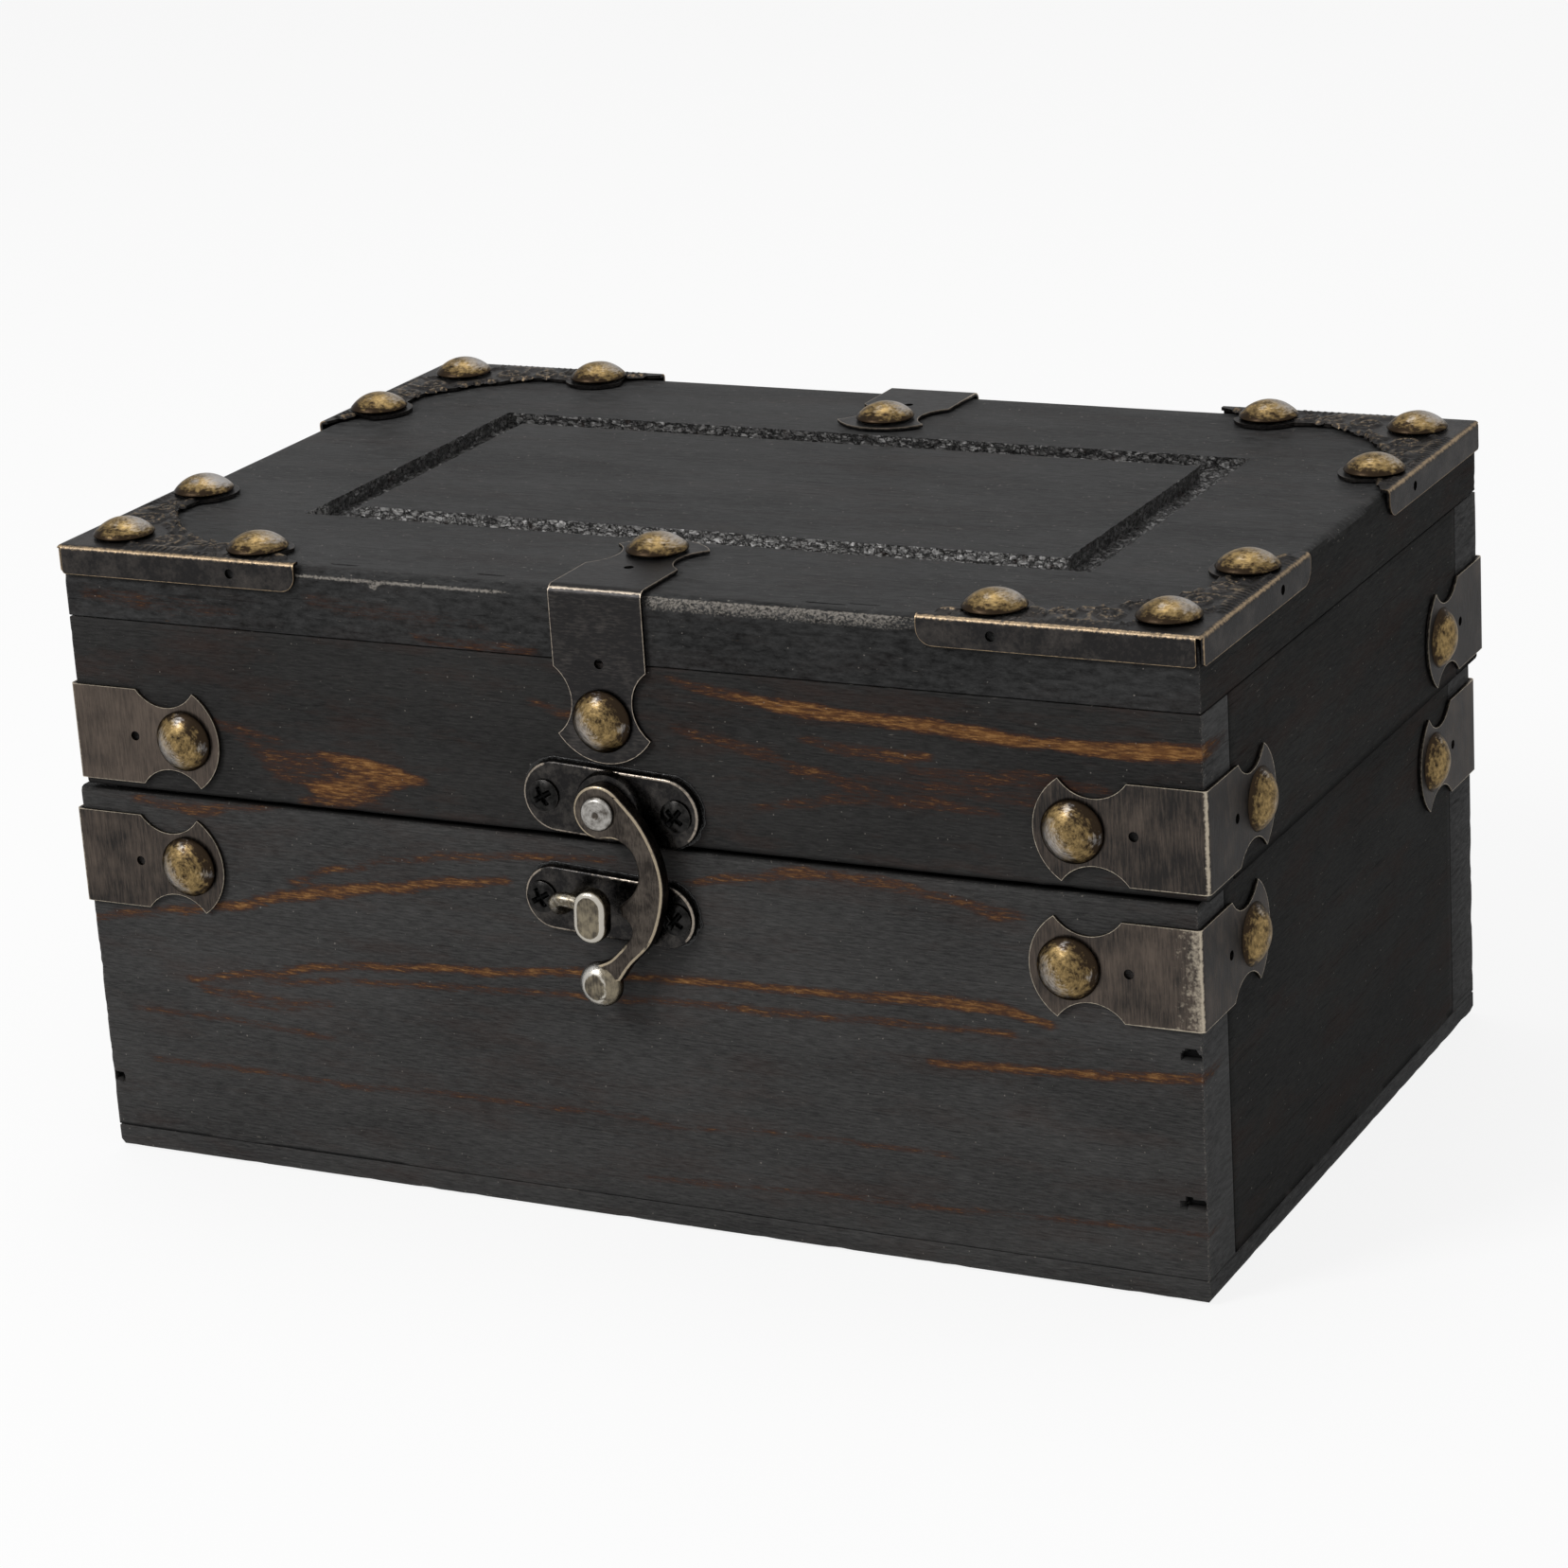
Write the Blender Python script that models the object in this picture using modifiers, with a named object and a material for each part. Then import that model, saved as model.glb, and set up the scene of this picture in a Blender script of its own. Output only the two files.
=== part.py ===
"""Small decorative storage box.

Stained pine boards make a base and a lid. Folded sheet-metal straps and corner plates are nailed
over their edges with dome nails, two butt hinges join them at the back, and a cast swing latch
closes the front.

X runs to the viewer's right, -Y to the front and Z up. The origin is the centre of the underside.
"""
import math

import bmesh
import bpy
from mathutils import Matrix, Vector

# Box boards
BOX_WIDTH = 0.220
BOX_DEPTH = 0.140
BASE_HEIGHT = 0.072
LID_HEIGHT = 0.045
LID_GAP = 0.0005
LID_OFFSET = 0.0018
WALL = 0.012
TOP_BOARD = 0.0125
BOTTOM_BOARD = 0.0045
SEAT_GAP = 0.0003
EDGE_ROUND = 0.0008
TOP_EDGE_ROUND = 0.0022

# Groove cut in the top board
GROOVE_INSET = 0.032
GROOVE_WIDTH = 0.0072
GROOVE_DEPTH = 0.0028

# Dome nails
DOME_RADIUS = 0.0059
DOME_HEIGHT = 0.0032
DOME_RIM = 0.0004
NAIL_SHANK_RADIUS = 0.0008
NAIL_SHANK_LENGTH = 0.008
NAIL_POINT = 0.001

# Folded sheet metal
SHEET = 0.0006
BRAD_HOLE_RADIUS = 0.0009

# Straps
STRAP_WIDTH = 0.018
STRAP_LEG = 0.0305
STRAP_NAIL_TO_END = 0.0073
STRAP_BRAD_TO_END = 0.018
STRAP_WAIST_LENGTH = 0.0122
STRAP_WAIST_DEPTH = 0.0031
STRAP_END_BULGE = 0.0048
LID_STRAP_RISE = 0.0017
BASE_STRAP_DROP = 0.0041

# Corner plates of the lid
PLATE_REACH = 0.050
PLATE_TIP = 0.0012
PLATE_TIP_RUN = 0.0065
PLATE_ARM = 0.0040
PLATE_CORNER_NAIL = 0.0085
PLATE_END_NAIL_TO_TIP = 0.0115
PLATE_END_NAIL_INSET = 0.0063
PLATE_LOBE_RADIUS = 0.0066
PLATE_CUSP_TO_NAIL = 0.0105
PLATE_CUSP_INSET = 0.0085
PLATE_SCALLOPS = 3
PLATE_SCALLOP_DEPTH = 0.0013
PLATE_HOLLOW = 0.0028
FLAP_HEIGHT = 0.0046
FLAP_ROUND = 0.0030
FLAP_RELIEF = 0.0005
FLAP_BRAD_TO_TIP = 0.0135

# Butt hinges at the back
HINGE_STRAP_GAP = 0.0057
HINGE_WIDTH = 0.020
HINGE_LEAF = 0.014
LEAF_THICKNESS = 0.0008
BARREL_RADIUS = 0.0020
PIN_RADIUS = 0.0009
PIN_CLEARANCE = 0.0002
PIN_HEAD = 0.0007
KNUCKLE_GAP = 0.0004
LEAF_SCREW_SPACING = 0.012
LEAF_SCREW_DROP = 0.009
LEAF_SCREW_HEAD_RADIUS = 0.0017
LEAF_SCREW_HEAD_HEIGHT = 0.0009
LEAF_SCREW_SHANK_LENGTH = 0.007

# Swing latch on the lid
LATCH_X = 0.0005
LATCH_RISE = 0.0070
LATCH_TILT = math.radians(3.3)
LATCH_PLATE_LENGTH = 0.0344
LATCH_PLATE_HEIGHT = 0.0130
CASTING_THICKNESS = 0.0014
HUB_RADIUS = 0.0072
HUB_HEIGHT = 0.0016
SCREW_SPACING = 0.0258
SCREW_HEAD_RADIUS = 0.0029
SCREW_HEAD_HEIGHT = 0.0011
SCREW_SHANK_RADIUS = 0.0011
SCREW_SHANK_LENGTH = 0.009
CROSS_LENGTH = 0.0034
CROSS_WIDTH = 0.0007
CROSS_DEPTH = 0.0006
RIVET_HEAD_RADIUS = 0.0031
RIVET_HEAD_HEIGHT = 0.0010
RIVET_SHANK_RADIUS = 0.0015
ARM_THICKNESS = 0.0024
ARM_BEVEL = 0.0004
ARM_RING_RADIUS = 0.0050
BALL_RADIUS = 0.0041
BALL_HALF_THICKNESS = 0.0027
BALL_DROP = 0.0321
BALL_SIDE = -0.0025
ARM_OUTER_CURVE = ((0.0035, 0.0036), (0.0079, -0.0015), (0.0106, -0.0072), (0.0115, -0.0125),
                   (0.0106, -0.0180), (0.0083, -0.0233), (0.0040, -0.0278))
ARM_INNER_CURVE = ((0.0026, -0.0168), (0.0057, -0.0140), (0.0069, -0.0104), (0.0058, -0.0066),
                   (0.0029, -0.0047), (-0.0006, -0.0050))
ARM_TAIL_CURVE = ((-0.0029, -0.0284), (-0.0001, -0.0271), (0.0024, -0.0248))
ARM_NECK = 0.0034
NOTCH_DROP = 0.0212
NOTCH_SIDE = 0.0023
NOTCH_RADIUS = 0.0025

# Catch on the base
CATCH_X = 0.0006
CATCH_DROP = 0.0115
CATCH_PLATE_LENGTH = 0.0336
CATCH_PLATE_HEIGHT = 0.0118
CATCH_SCREW_SPACING = 0.0265
PEG_RADIUS = 0.0013
PEG_SIDE = -0.0074
PEG_HEAD_WIDTH = 0.0056
PEG_HEAD_HEIGHT = 0.0094
PEG_HEAD_THICKNESS = 0.0026
PEG_HEAD_SIDE = 0.0003
PEG_HEAD_RISE = 0.0010
PEG_TO_ARM = 0.0014

# Levels worked out from the sizes above
LID_RIM = BASE_HEIGHT + LID_GAP
LID_TOP = LID_RIM + LID_HEIGHT
HALF_WIDTH = BOX_WIDTH / 2
HALF_DEPTH = BOX_DEPTH / 2
FRONT = Vector((0, -1, 0))
BACK = Vector((0, 1, 0))
RIGHT = Vector((1, 0, 0))
LEFT = Vector((-1, 0, 0))
UP = Vector((0, 0, 1))
DOWN = Vector((0, 0, -1))
HINGE_AXIS = Vector((0, HALF_DEPTH + SEAT_GAP + BARREL_RADIUS, BASE_HEIGHT + LID_GAP / 2))
LATCH_CENTRE = Vector((LID_OFFSET + LATCH_X, -HALF_DEPTH, LID_RIM + LATCH_RISE))
CATCH_CENTRE = Vector((CATCH_X, -HALF_DEPTH, BASE_HEIGHT - CATCH_DROP))
PLATE_FRONT = SEAT_GAP + CASTING_THICKNESS
ARM_BACK = PLATE_FRONT + HUB_HEIGHT + SEAT_GAP
ARM_FRONT = ARM_BACK + ARM_THICKNESS
PILOT_CLEARANCE = SEAT_GAP

ROUND_STEPS = 12
FINE_STEPS = 14
HOLE_STEPS = 8


def clear_scene():
    for old in list(bpy.data.objects):
        bpy.data.objects.remove(old, do_unlink=True)


def new_collection(name):
    collection = bpy.data.collections.new(name)
    bpy.context.scene.collection.children.link(collection)
    return collection


clear_scene()
PARTS = new_collection("decorative_box")
CUTTERS = new_collection("cutters")


def new_material(name, colour, roughness, metallic):
    material = bpy.data.materials.new(name)
    material.use_nodes = True
    shader = material.node_tree.nodes["Principled BSDF"]
    shader.inputs["Base Color"].default_value = (*colour, 1)
    shader.inputs["Roughness"].default_value = roughness
    shader.inputs["Metallic"].default_value = metallic
    return material


LID_WOOD = new_material("lid_wood", (0.030, 0.026, 0.023), 0.55, 0)
BASE_WOOD = new_material("base_wood", (0.028, 0.025, 0.023), 0.55, 0)
TOP_WOOD = new_material("top_board_wood", (0.034, 0.031, 0.029), 0.50, 0)
STRAP_METAL = new_material("strap_bronze", (0.085, 0.068, 0.052), 0.42, 1)
NAIL_METAL = new_material("nail_brass", (0.230, 0.160, 0.080), 0.32, 1)
LATCH_METAL = new_material("latch_bronze", (0.090, 0.080, 0.072), 0.35, 1)
SCREW_METAL = new_material("screw_dark", (0.025, 0.023, 0.022), 0.45, 1)
RIVET_METAL = new_material("rivet_steel", (0.450, 0.430, 0.410), 0.35, 1)
HINGE_METAL = new_material("hinge_bronze", (0.085, 0.068, 0.052), 0.42, 1)


# Guides: one empty for each body, on the axis that the body turns about
def new_empty(name, place, parent=None):
    empty = bpy.data.objects.new(name, None)
    empty.empty_display_size = 0.01
    PARTS.objects.link(empty)
    put_at(empty, place, parent)
    return empty


def world_place(thing):
    return thing["world_place"] if thing else (0, 0, 0)


def put_at(thing, place, parent):
    """Gives a thing its place in the world, under its body's empty."""
    thing.parent = parent
    thing["world_place"] = tuple(place)
    thing.location = Vector(place) - Vector(world_place(parent))


BASE_BODY = new_empty("base_body", (0, 0, 0))
LID_BODY = new_empty("lid_hinge_axis", HINGE_AXIS, BASE_BODY)
ARM_BODY = new_empty("latch_pivot_axis", LATCH_CENTRE, LID_BODY)


def new_part(name, mesh, material, body, place=(0, 0, 0), turn=None):
    part = bpy.data.objects.new(name, mesh)
    PARTS.objects.link(part)
    part.data.materials.clear()
    part.data.materials.append(material)
    put_at(part, place, body)
    if turn:
        part.rotation_mode = "QUATERNION"
        part.rotation_quaternion = turn.to_quaternion()
    return part


def new_cutter(name, mesh, place=(0, 0, 0), turn=None):
    cutter = bpy.data.objects.new(name, mesh)
    CUTTERS.objects.link(cutter)
    cutter.location = place
    if turn:
        cutter.rotation_mode = "QUATERNION"
        cutter.rotation_quaternion = turn.to_quaternion()
    cutter.hide_render = True
    cutter.display_type = "WIRE"
    return cutter


def join_shape(part, cutter, operation):
    boolean = part.modifiers.new(operation.lower(), "BOOLEAN")
    boolean.operation = operation
    boolean.solver = "EXACT"
    boolean.object = cutter


def facing(direction):
    """The turn that points a piece's own Z along a direction."""
    return Vector(direction).to_track_quat("Z", "Y").to_matrix()


def mesh_from(bm, name):
    mesh = bpy.data.meshes.new(name)
    bm.to_mesh(mesh)
    bm.free()
    return mesh


def box_mesh(name, low, high):
    bm = bmesh.new()
    size = Vector(high) - Vector(low)
    middle = (Vector(high) + Vector(low)) / 2
    bmesh.ops.create_cube(bm, size=1)
    bmesh.ops.scale(bm, vec=size, verts=bm.verts)
    bmesh.ops.translate(bm, vec=middle, verts=bm.verts)
    return mesh_from(bm, name)


def add_bore(bm, point, outward, radius, depth, lead=0.002):
    """Adds a drill's cylinder: it starts a little outside the face and ends at the depth."""
    length = depth + lead
    centre = Vector(point) + Vector(outward) * (lead - depth) / 2
    matrix = Matrix.Translation(centre) @ facing(outward).to_4x4()
    bmesh.ops.create_cone(bm, cap_ends=True, segments=HOLE_STEPS, radius1=radius, radius2=radius,
                          depth=length, matrix=matrix)


# Outlines are lists of points in a flat plane
def arc(centre, radius, start, end, steps):
    points = []
    for step in range(steps + 1):
        angle = math.radians(start + (end - start) * step / steps)
        points.append((centre[0] + radius * math.cos(angle), centre[1] + radius * math.sin(angle)))
    return points


def circle(centre, radius, steps=HOLE_STEPS):
    return arc(centre, radius, 0, 360, steps)[:-1]


def bow(start, end, rise, steps):
    """An arc between two points that rises to the left of the way from start to end."""
    start, end = Vector(start), Vector(end)
    half = (end - start) / 2
    side = Vector((-half.y, half.x)).normalized()
    radius = (half.length_squared + rise * rise) / (2 * abs(rise))
    centre = start + half + side * (rise - math.copysign(radius, rise))
    first = math.atan2(start.y - centre.y, start.x - centre.x)
    turn = 2 * math.asin(min(1, half.length / radius)) * (-1 if rise > 0 else 1)
    points = []
    for step in range(steps + 1):
        angle = first + turn * step / steps
        points.append((centre.x + radius * math.cos(angle), centre.y + radius * math.sin(angle)))
    return points


def smooth_line(knots, steps):
    """A smooth curve through its knots, in two or three dimensions."""
    knots = [Vector(knot) for knot in knots]
    padded = [knots[0] * 2 - knots[1]] + knots + [knots[-1] * 2 - knots[-2]]
    points = []
    for index in range(1, len(padded) - 2):
        a, b, c, d = padded[index - 1:index + 3]
        for step in range(steps):
            t = step / steps
            point = b * 2 + (c - a) * t + (a * 2 - b * 5 + c * 4 - d) * t * t
            point += (b * 3 - a - c * 3 + d) * t * t * t
            points.append(tuple(point / 2))
    points.append(tuple(knots[-1]))
    return points


def outline_mesh(name, outlines, thickness=0):
    """A flat shape with holes, or a plate of it that stands on its plane."""
    curve = bpy.data.curves.new(name, "CURVE")
    curve.dimensions = "2D"
    curve.fill_mode = "BOTH" if thickness else "FRONT"
    curve.extrude = thickness / 2
    for points in outlines:
        spline = curve.splines.new("POLY")
        spline.points.add(len(points) - 1)
        for point, place in zip(spline.points, points):
            point.co = (place[0], place[1], 0, 1)
        spline.use_cyclic_u = True
    holder = bpy.data.objects.new(name, curve)
    CUTTERS.objects.link(holder)
    bpy.context.view_layer.update()
    evaluated = holder.evaluated_get(bpy.context.evaluated_depsgraph_get())
    mesh = bpy.data.meshes.new_from_object(evaluated)
    bpy.data.objects.remove(holder)
    bm = bmesh.new()
    bm.from_mesh(mesh)
    bmesh.ops.remove_doubles(bm, verts=bm.verts, dist=0.000005)
    bmesh.ops.translate(bm, vec=(0, 0, thickness / 2), verts=bm.verts)
    if thickness:
        bmesh.ops.recalc_face_normals(bm, faces=bm.faces)
    bm.to_mesh(mesh)
    bm.free()
    mesh.name = name
    return mesh


def stadium(length, height, steps=8):
    """The outline of a bar with full round ends."""
    radius = height / 2
    reach = length / 2 - radius
    return arc((reach, 0), radius, -90, 90, steps) + arc((-reach, 0), radius, 90, 270, steps)


def turned_mesh(name, profile):
    """A profile line at +X for the Screw modifier, from its top to its foot."""
    bm = bmesh.new()
    corners = [bm.verts.new((radius, 0, height)) for radius, height in profile]
    for upper, lower in zip(corners, corners[1:]):
        bm.edges.new((upper, lower))
    return mesh_from(bm, name)


def turn_profile(thing, steps=ROUND_STEPS):
    screw = thing.modifiers.new("turn", "SCREW")
    screw.axis = "Z"
    screw.steps = steps
    screw.render_steps = steps
    screw.use_merge_vertices = True
    screw.merge_threshold = 0.00001


def dome_profile(radius, height, rim, shank_radius, shank_length, point, steps=3):
    """A domed head on a shank: the head's underside is at height 0."""
    cap = height - rim
    ball = (radius * radius + cap * cap) / (2 * cap)
    sweep = math.asin(min(1, radius / ball))
    if cap > radius:
        sweep = math.pi - sweep
    profile = []
    for step in range(steps + 1):
        angle = sweep * step / steps
        profile.append((ball * math.sin(angle), height - ball + ball * math.cos(angle)))
    profile.append((radius, 0))
    profile.append((shank_radius, 0))
    profile.append((shank_radius, -shank_length))
    profile.append((0, -shank_length - point))
    return profile


# Boards
def add_board(name, low, high, material, body, rounding=EDGE_ROUND):
    middle = (Vector(low) + Vector(high)) / 2
    part = new_part(name, box_mesh(name, Vector(low) - middle, Vector(high) - middle), material, body,
                    middle)
    bevel = part.modifiers.new("edges", "BEVEL")
    bevel.width = rounding
    bevel.segments = 2
    return part


def add_walls(prefix, centre_x, low, high, material, body):
    """Front and back boards as wide as the box, with the side boards between them."""
    left, right = centre_x - HALF_WIDTH, centre_x + HALF_WIDTH
    inner = HALF_DEPTH - WALL
    side = inner - SEAT_GAP
    return {
        "front": add_board(prefix + "_front_board", (left, -HALF_DEPTH, low), (right, -inner, high),
                           material, body),
        "back": add_board(prefix + "_back_board", (left, inner, low), (right, HALF_DEPTH, high),
                          material, body),
        "left": add_board(prefix + "_left_board", (left, -side, low), (left + WALL, side, high),
                          material, body),
        "right": add_board(prefix + "_right_board", (right - WALL, -side, low), (right, side, high),
                           material, body),
    }


base_walls = add_walls("base", 0, BOTTOM_BOARD + SEAT_GAP, BASE_HEIGHT, BASE_WOOD, BASE_BODY)
base_bottom = add_board("base_bottom_board", (-HALF_WIDTH, -HALF_DEPTH, 0),
                        (HALF_WIDTH, HALF_DEPTH, BOTTOM_BOARD), BASE_WOOD, BASE_BODY)
lid_walls = add_walls("lid", LID_OFFSET, LID_RIM, LID_TOP - TOP_BOARD - SEAT_GAP, LID_WOOD, LID_BODY)
top_board = add_board("lid_top_board", (LID_OFFSET - HALF_WIDTH, -HALF_DEPTH, LID_TOP - TOP_BOARD),
                      (LID_OFFSET + HALF_WIDTH, HALF_DEPTH, LID_TOP), TOP_WOOD, LID_BODY,
                      TOP_EDGE_ROUND)


def cut_groove():
    """A frame-shaped groove: a rectangle is inset, and the ring between is sunk."""
    reach_x = HALF_WIDTH - GROOVE_INSET
    reach_y = HALF_DEPTH - GROOVE_INSET
    bm = bmesh.new()
    bmesh.ops.create_grid(bm, x_segments=1, y_segments=1, size=1)
    bmesh.ops.scale(bm, vec=(reach_x, reach_y, 1), verts=bm.verts)
    bmesh.ops.inset_region(bm, faces=bm.faces[:], thickness=GROOVE_WIDTH, use_boundary=True,
                           use_even_offset=True)
    middle = min(bm.faces, key=lambda face: face.calc_center_median().length)
    bmesh.ops.delete(bm, geom=[middle], context="FACES_ONLY")
    ring = bmesh.ops.extrude_face_region(bm, geom=bm.faces[:])
    raised = [item for item in ring["geom"] if isinstance(item, bmesh.types.BMVert)]
    bmesh.ops.translate(bm, vec=(0, 0, GROOVE_DEPTH * 2), verts=raised)
    bmesh.ops.recalc_face_normals(bm, faces=bm.faces)
    cutter = new_cutter("groove_cutter", mesh_from(bm, "groove_cutter"),
                        (LID_OFFSET, 0, LID_TOP - GROOVE_DEPTH))
    join_shape(top_board, cutter, "DIFFERENCE")


cut_groove()

# Pilot holes, gathered for each board as its fasteners are placed
pilots = {}


def note_pilot(board, point, outward, radius, depth):
    pilots.setdefault(board.name, (board, []))[1].append((point, outward, radius, depth))


def drill_boards():
    for name, (board, holes) in pilots.items():
        bm = bmesh.new()
        for point, outward, radius, depth in holes:
            add_bore(bm, point, outward, radius, depth)
        join_shape(board, new_cutter(name + "_pilots", mesh_from(bm, name + "_pilots")), "DIFFERENCE")


# Dome nails
nail_profile = dome_profile(DOME_RADIUS, DOME_HEIGHT, DOME_RIM, NAIL_SHANK_RADIUS, NAIL_SHANK_LENGTH,
                            NAIL_POINT)
nail_mesh = turned_mesh("dome_nail", nail_profile)
nail_mesh.materials.append(NAIL_METAL)
NAIL_REACH = NAIL_SHANK_LENGTH + NAIL_POINT
NAIL_HOLE_RADIUS = NAIL_SHANK_RADIUS + PILOT_CLEARANCE


def add_nail(name, board, face_point, outward, body):
    """A nail through the sheet metal into the board: face_point is on the wood's face."""
    outward = Vector(outward)
    seat = Vector(face_point) + outward * (SEAT_GAP + SHEET + SEAT_GAP)
    nail = new_part(name, nail_mesh, NAIL_METAL, body, seat, facing(outward))
    turn_profile(nail)
    note_pilot(board, face_point, outward, NAIL_HOLE_RADIUS, NAIL_REACH)
    return nail


def fuse_nail(sheet_part, board, face_point, outward):
    """A nail that is one with its strap, its head pressed on to the metal."""
    outward = Vector(outward)
    seat = Vector(face_point) + outward * (SEAT_GAP + SHEET / 2)
    nail = new_cutter(sheet_part.name + "_nail", nail_mesh, seat, facing(outward))
    turn_profile(nail)
    join_shape(sheet_part, nail, "UNION")
    note_pilot(board, face_point, outward, NAIL_HOLE_RADIUS, NAIL_REACH)


# Straps: a flat blank with a bow-tie end on each leg, folded square over an edge
def strap_edge(leg):
    """One leg's edge, from the fold to the middle of its end."""
    half = STRAP_WIDTH / 2
    tip = leg - STRAP_END_BULGE
    waist = tip - STRAP_WAIST_LENGTH
    edge = bow((waist, half), (tip, half), -STRAP_WAIST_DEPTH, 5)
    end_arc = bow((tip, half), (tip, -half), STRAP_END_BULGE, 8)
    return edge + end_arc[1:5]


def strap_blank(name, first_leg, second_leg, nail_holes):
    """The flat blank: the first leg runs to -X, the second to +X, and the fold is at X = 0."""
    right = strap_edge(second_leg)
    left = strap_edge(first_leg)
    outline = right + [(x, -y) for x, y in reversed(right[:-1])]
    outline += [(-x, -y) for x, y in left] + [(-x, y) for x, y in reversed(left[:-1])]
    holes = []
    for sign, leg, with_nail in ((-1, first_leg, nail_holes[0]), (1, second_leg, nail_holes[1])):
        holes.append(circle((sign * (leg - STRAP_BRAD_TO_END), 0), BRAD_HOLE_RADIUS))
        if with_nail:
            holes.append(circle((sign * (leg - STRAP_NAIL_TO_END), 0), NAIL_HOLE_RADIUS))
    return outline_mesh(name, [outline] + holes)


def fold_mesh(mesh, line_point, line_axis, beyond, angle):
    """Folds what lies beyond a line of a flat blank."""
    bm = bmesh.new()
    bm.from_mesh(mesh)
    bmesh.ops.bisect_plane(bm, geom=bm.verts[:] + bm.edges[:] + bm.faces[:], plane_co=line_point,
                           plane_no=beyond, dist=0.000001)
    moving = [v for v in bm.verts if (v.co - Vector(line_point)).dot(Vector(beyond)) > 0.00001]
    bmesh.ops.rotate(bm, verts=moving, cent=line_point, matrix=Matrix.Rotation(angle, 3, line_axis))
    bm.to_mesh(mesh)
    bm.free()


def thicken(part):
    solidify = part.modifiers.new("sheet", "SOLIDIFY")
    solidify.thickness = SHEET
    solidify.offset = 1
    solidify.use_even_offset = True


# The strap's own frame: first leg on the plane Z = 0 towards -X, second leg down the plane X = 0
QUARTER = math.radians(90)


def add_strap(name, first_leg, second_leg, corner, first_out, second_out, body, nail_holes):
    """Folds a strap over an edge. Each leg lies on the face that its outward direction names."""
    mesh = strap_blank(name, first_leg, second_leg, nail_holes)
    fold_mesh(mesh, (0, 0, 0), "Y", (1, 0, 0), QUARTER)
    first_out, second_out = Vector(first_out), Vector(second_out)
    across = first_out.cross(second_out)
    frame = Matrix((second_out, across, first_out)).transposed()
    place = Vector(corner) + (first_out + second_out) * SEAT_GAP
    part = new_part(name, mesh, STRAP_METAL, body, place, frame)
    thicken(part)
    return part


def leg_nail(leg):
    """How far a leg's nail is from the board's corner."""
    return leg - STRAP_NAIL_TO_END - SEAT_GAP


def corner_height(kind):
    """The middle of a corner strap's height."""
    if kind == "lid":
        return LID_RIM + LID_STRAP_RISE + STRAP_WIDTH / 2
    return BASE_HEIGHT - BASE_STRAP_DROP - STRAP_WIDTH / 2


def add_corner_straps(kind, centre_x, walls, body):
    height = corner_height(kind)
    nail_reach = leg_nail(STRAP_LEG)
    for side_name, side in (("left", -1), ("right", 1)):
        for end_name, end in (("front", -1), ("back", 1)):
            name = "_".join((kind, "strap", end_name, side_name))
            corner = Vector((centre_x + side * HALF_WIDTH, end * HALF_DEPTH, height))
            side_out, end_out = RIGHT * side, BACK * end
            end_nail = corner - side_out * nail_reach
            side_nail = corner - end_out * nail_reach
            strap = add_strap(name, STRAP_LEG, STRAP_LEG, corner, end_out, side_out, body,
                              (end_name == "front", False))
            if end_name == "front":
                nail_name = "_".join((kind, "nail", end_name, side_name))
                add_nail(nail_name, walls[end_name], end_nail, end_out, body)
            else:
                fuse_nail(strap, walls[end_name], end_nail, end_out)
            fuse_nail(strap, walls[side_name], side_nail, side_out)


add_corner_straps("base", 0, base_walls, BASE_BODY)
add_corner_straps("lid", LID_OFFSET, lid_walls, LID_BODY)


def add_centre_strap(end_name, end, down_leg):
    """A strap over the lid's top edge, with a nail in each leg."""
    out = BACK * end
    corner = Vector((LID_OFFSET, end * HALF_DEPTH, LID_TOP))
    add_strap(end_name + "_centre_strap", down_leg, STRAP_LEG, corner, out, UP, LID_BODY, (True, True))
    on_wall = corner + DOWN * leg_nail(down_leg)
    on_top = corner - out * leg_nail(STRAP_LEG)
    add_nail("_".join((end_name, "centre_nail_low")), lid_walls[end_name], on_wall, out, LID_BODY)
    add_nail("_".join((end_name, "centre_nail_top")), top_board, on_top, UP, LID_BODY)


add_centre_strap("front", -1, STRAP_LEG)
add_centre_strap("back", 1, STRAP_LEG)


# Corner plates on the lid's top, with a flap folded down each outer edge
PLATE_END_NAIL = PLATE_REACH - PLATE_END_NAIL_TO_TIP
FLAP_BRAD = PLATE_REACH - FLAP_BRAD_TO_TIP


def plate_half_edge():
    """The inner edge of one arm, from its tip to the scallops, and the scallops' cusps."""
    nail = Vector((PLATE_END_NAIL, PLATE_END_NAIL_INSET))
    lobe_start = nail + Vector((PLATE_LOBE_RADIUS * 0.94, PLATE_LOBE_RADIUS * 0.34))
    edge = [(PLATE_REACH, PLATE_TIP), (PLATE_REACH - PLATE_TIP_RUN, PLATE_ARM)]
    first = math.degrees(math.atan2(lobe_start.y - nail.y, lobe_start.x - nail.x))
    edge += arc(nail, PLATE_LOBE_RADIUS, first, 155, 6)
    outer_cusp = (PLATE_END_NAIL - PLATE_CUSP_TO_NAIL, PLATE_CUSP_INSET)
    cusps = bow(outer_cusp, outer_cusp[::-1], PLATE_HOLLOW, PLATE_SCALLOPS)
    return edge, cusps


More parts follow.
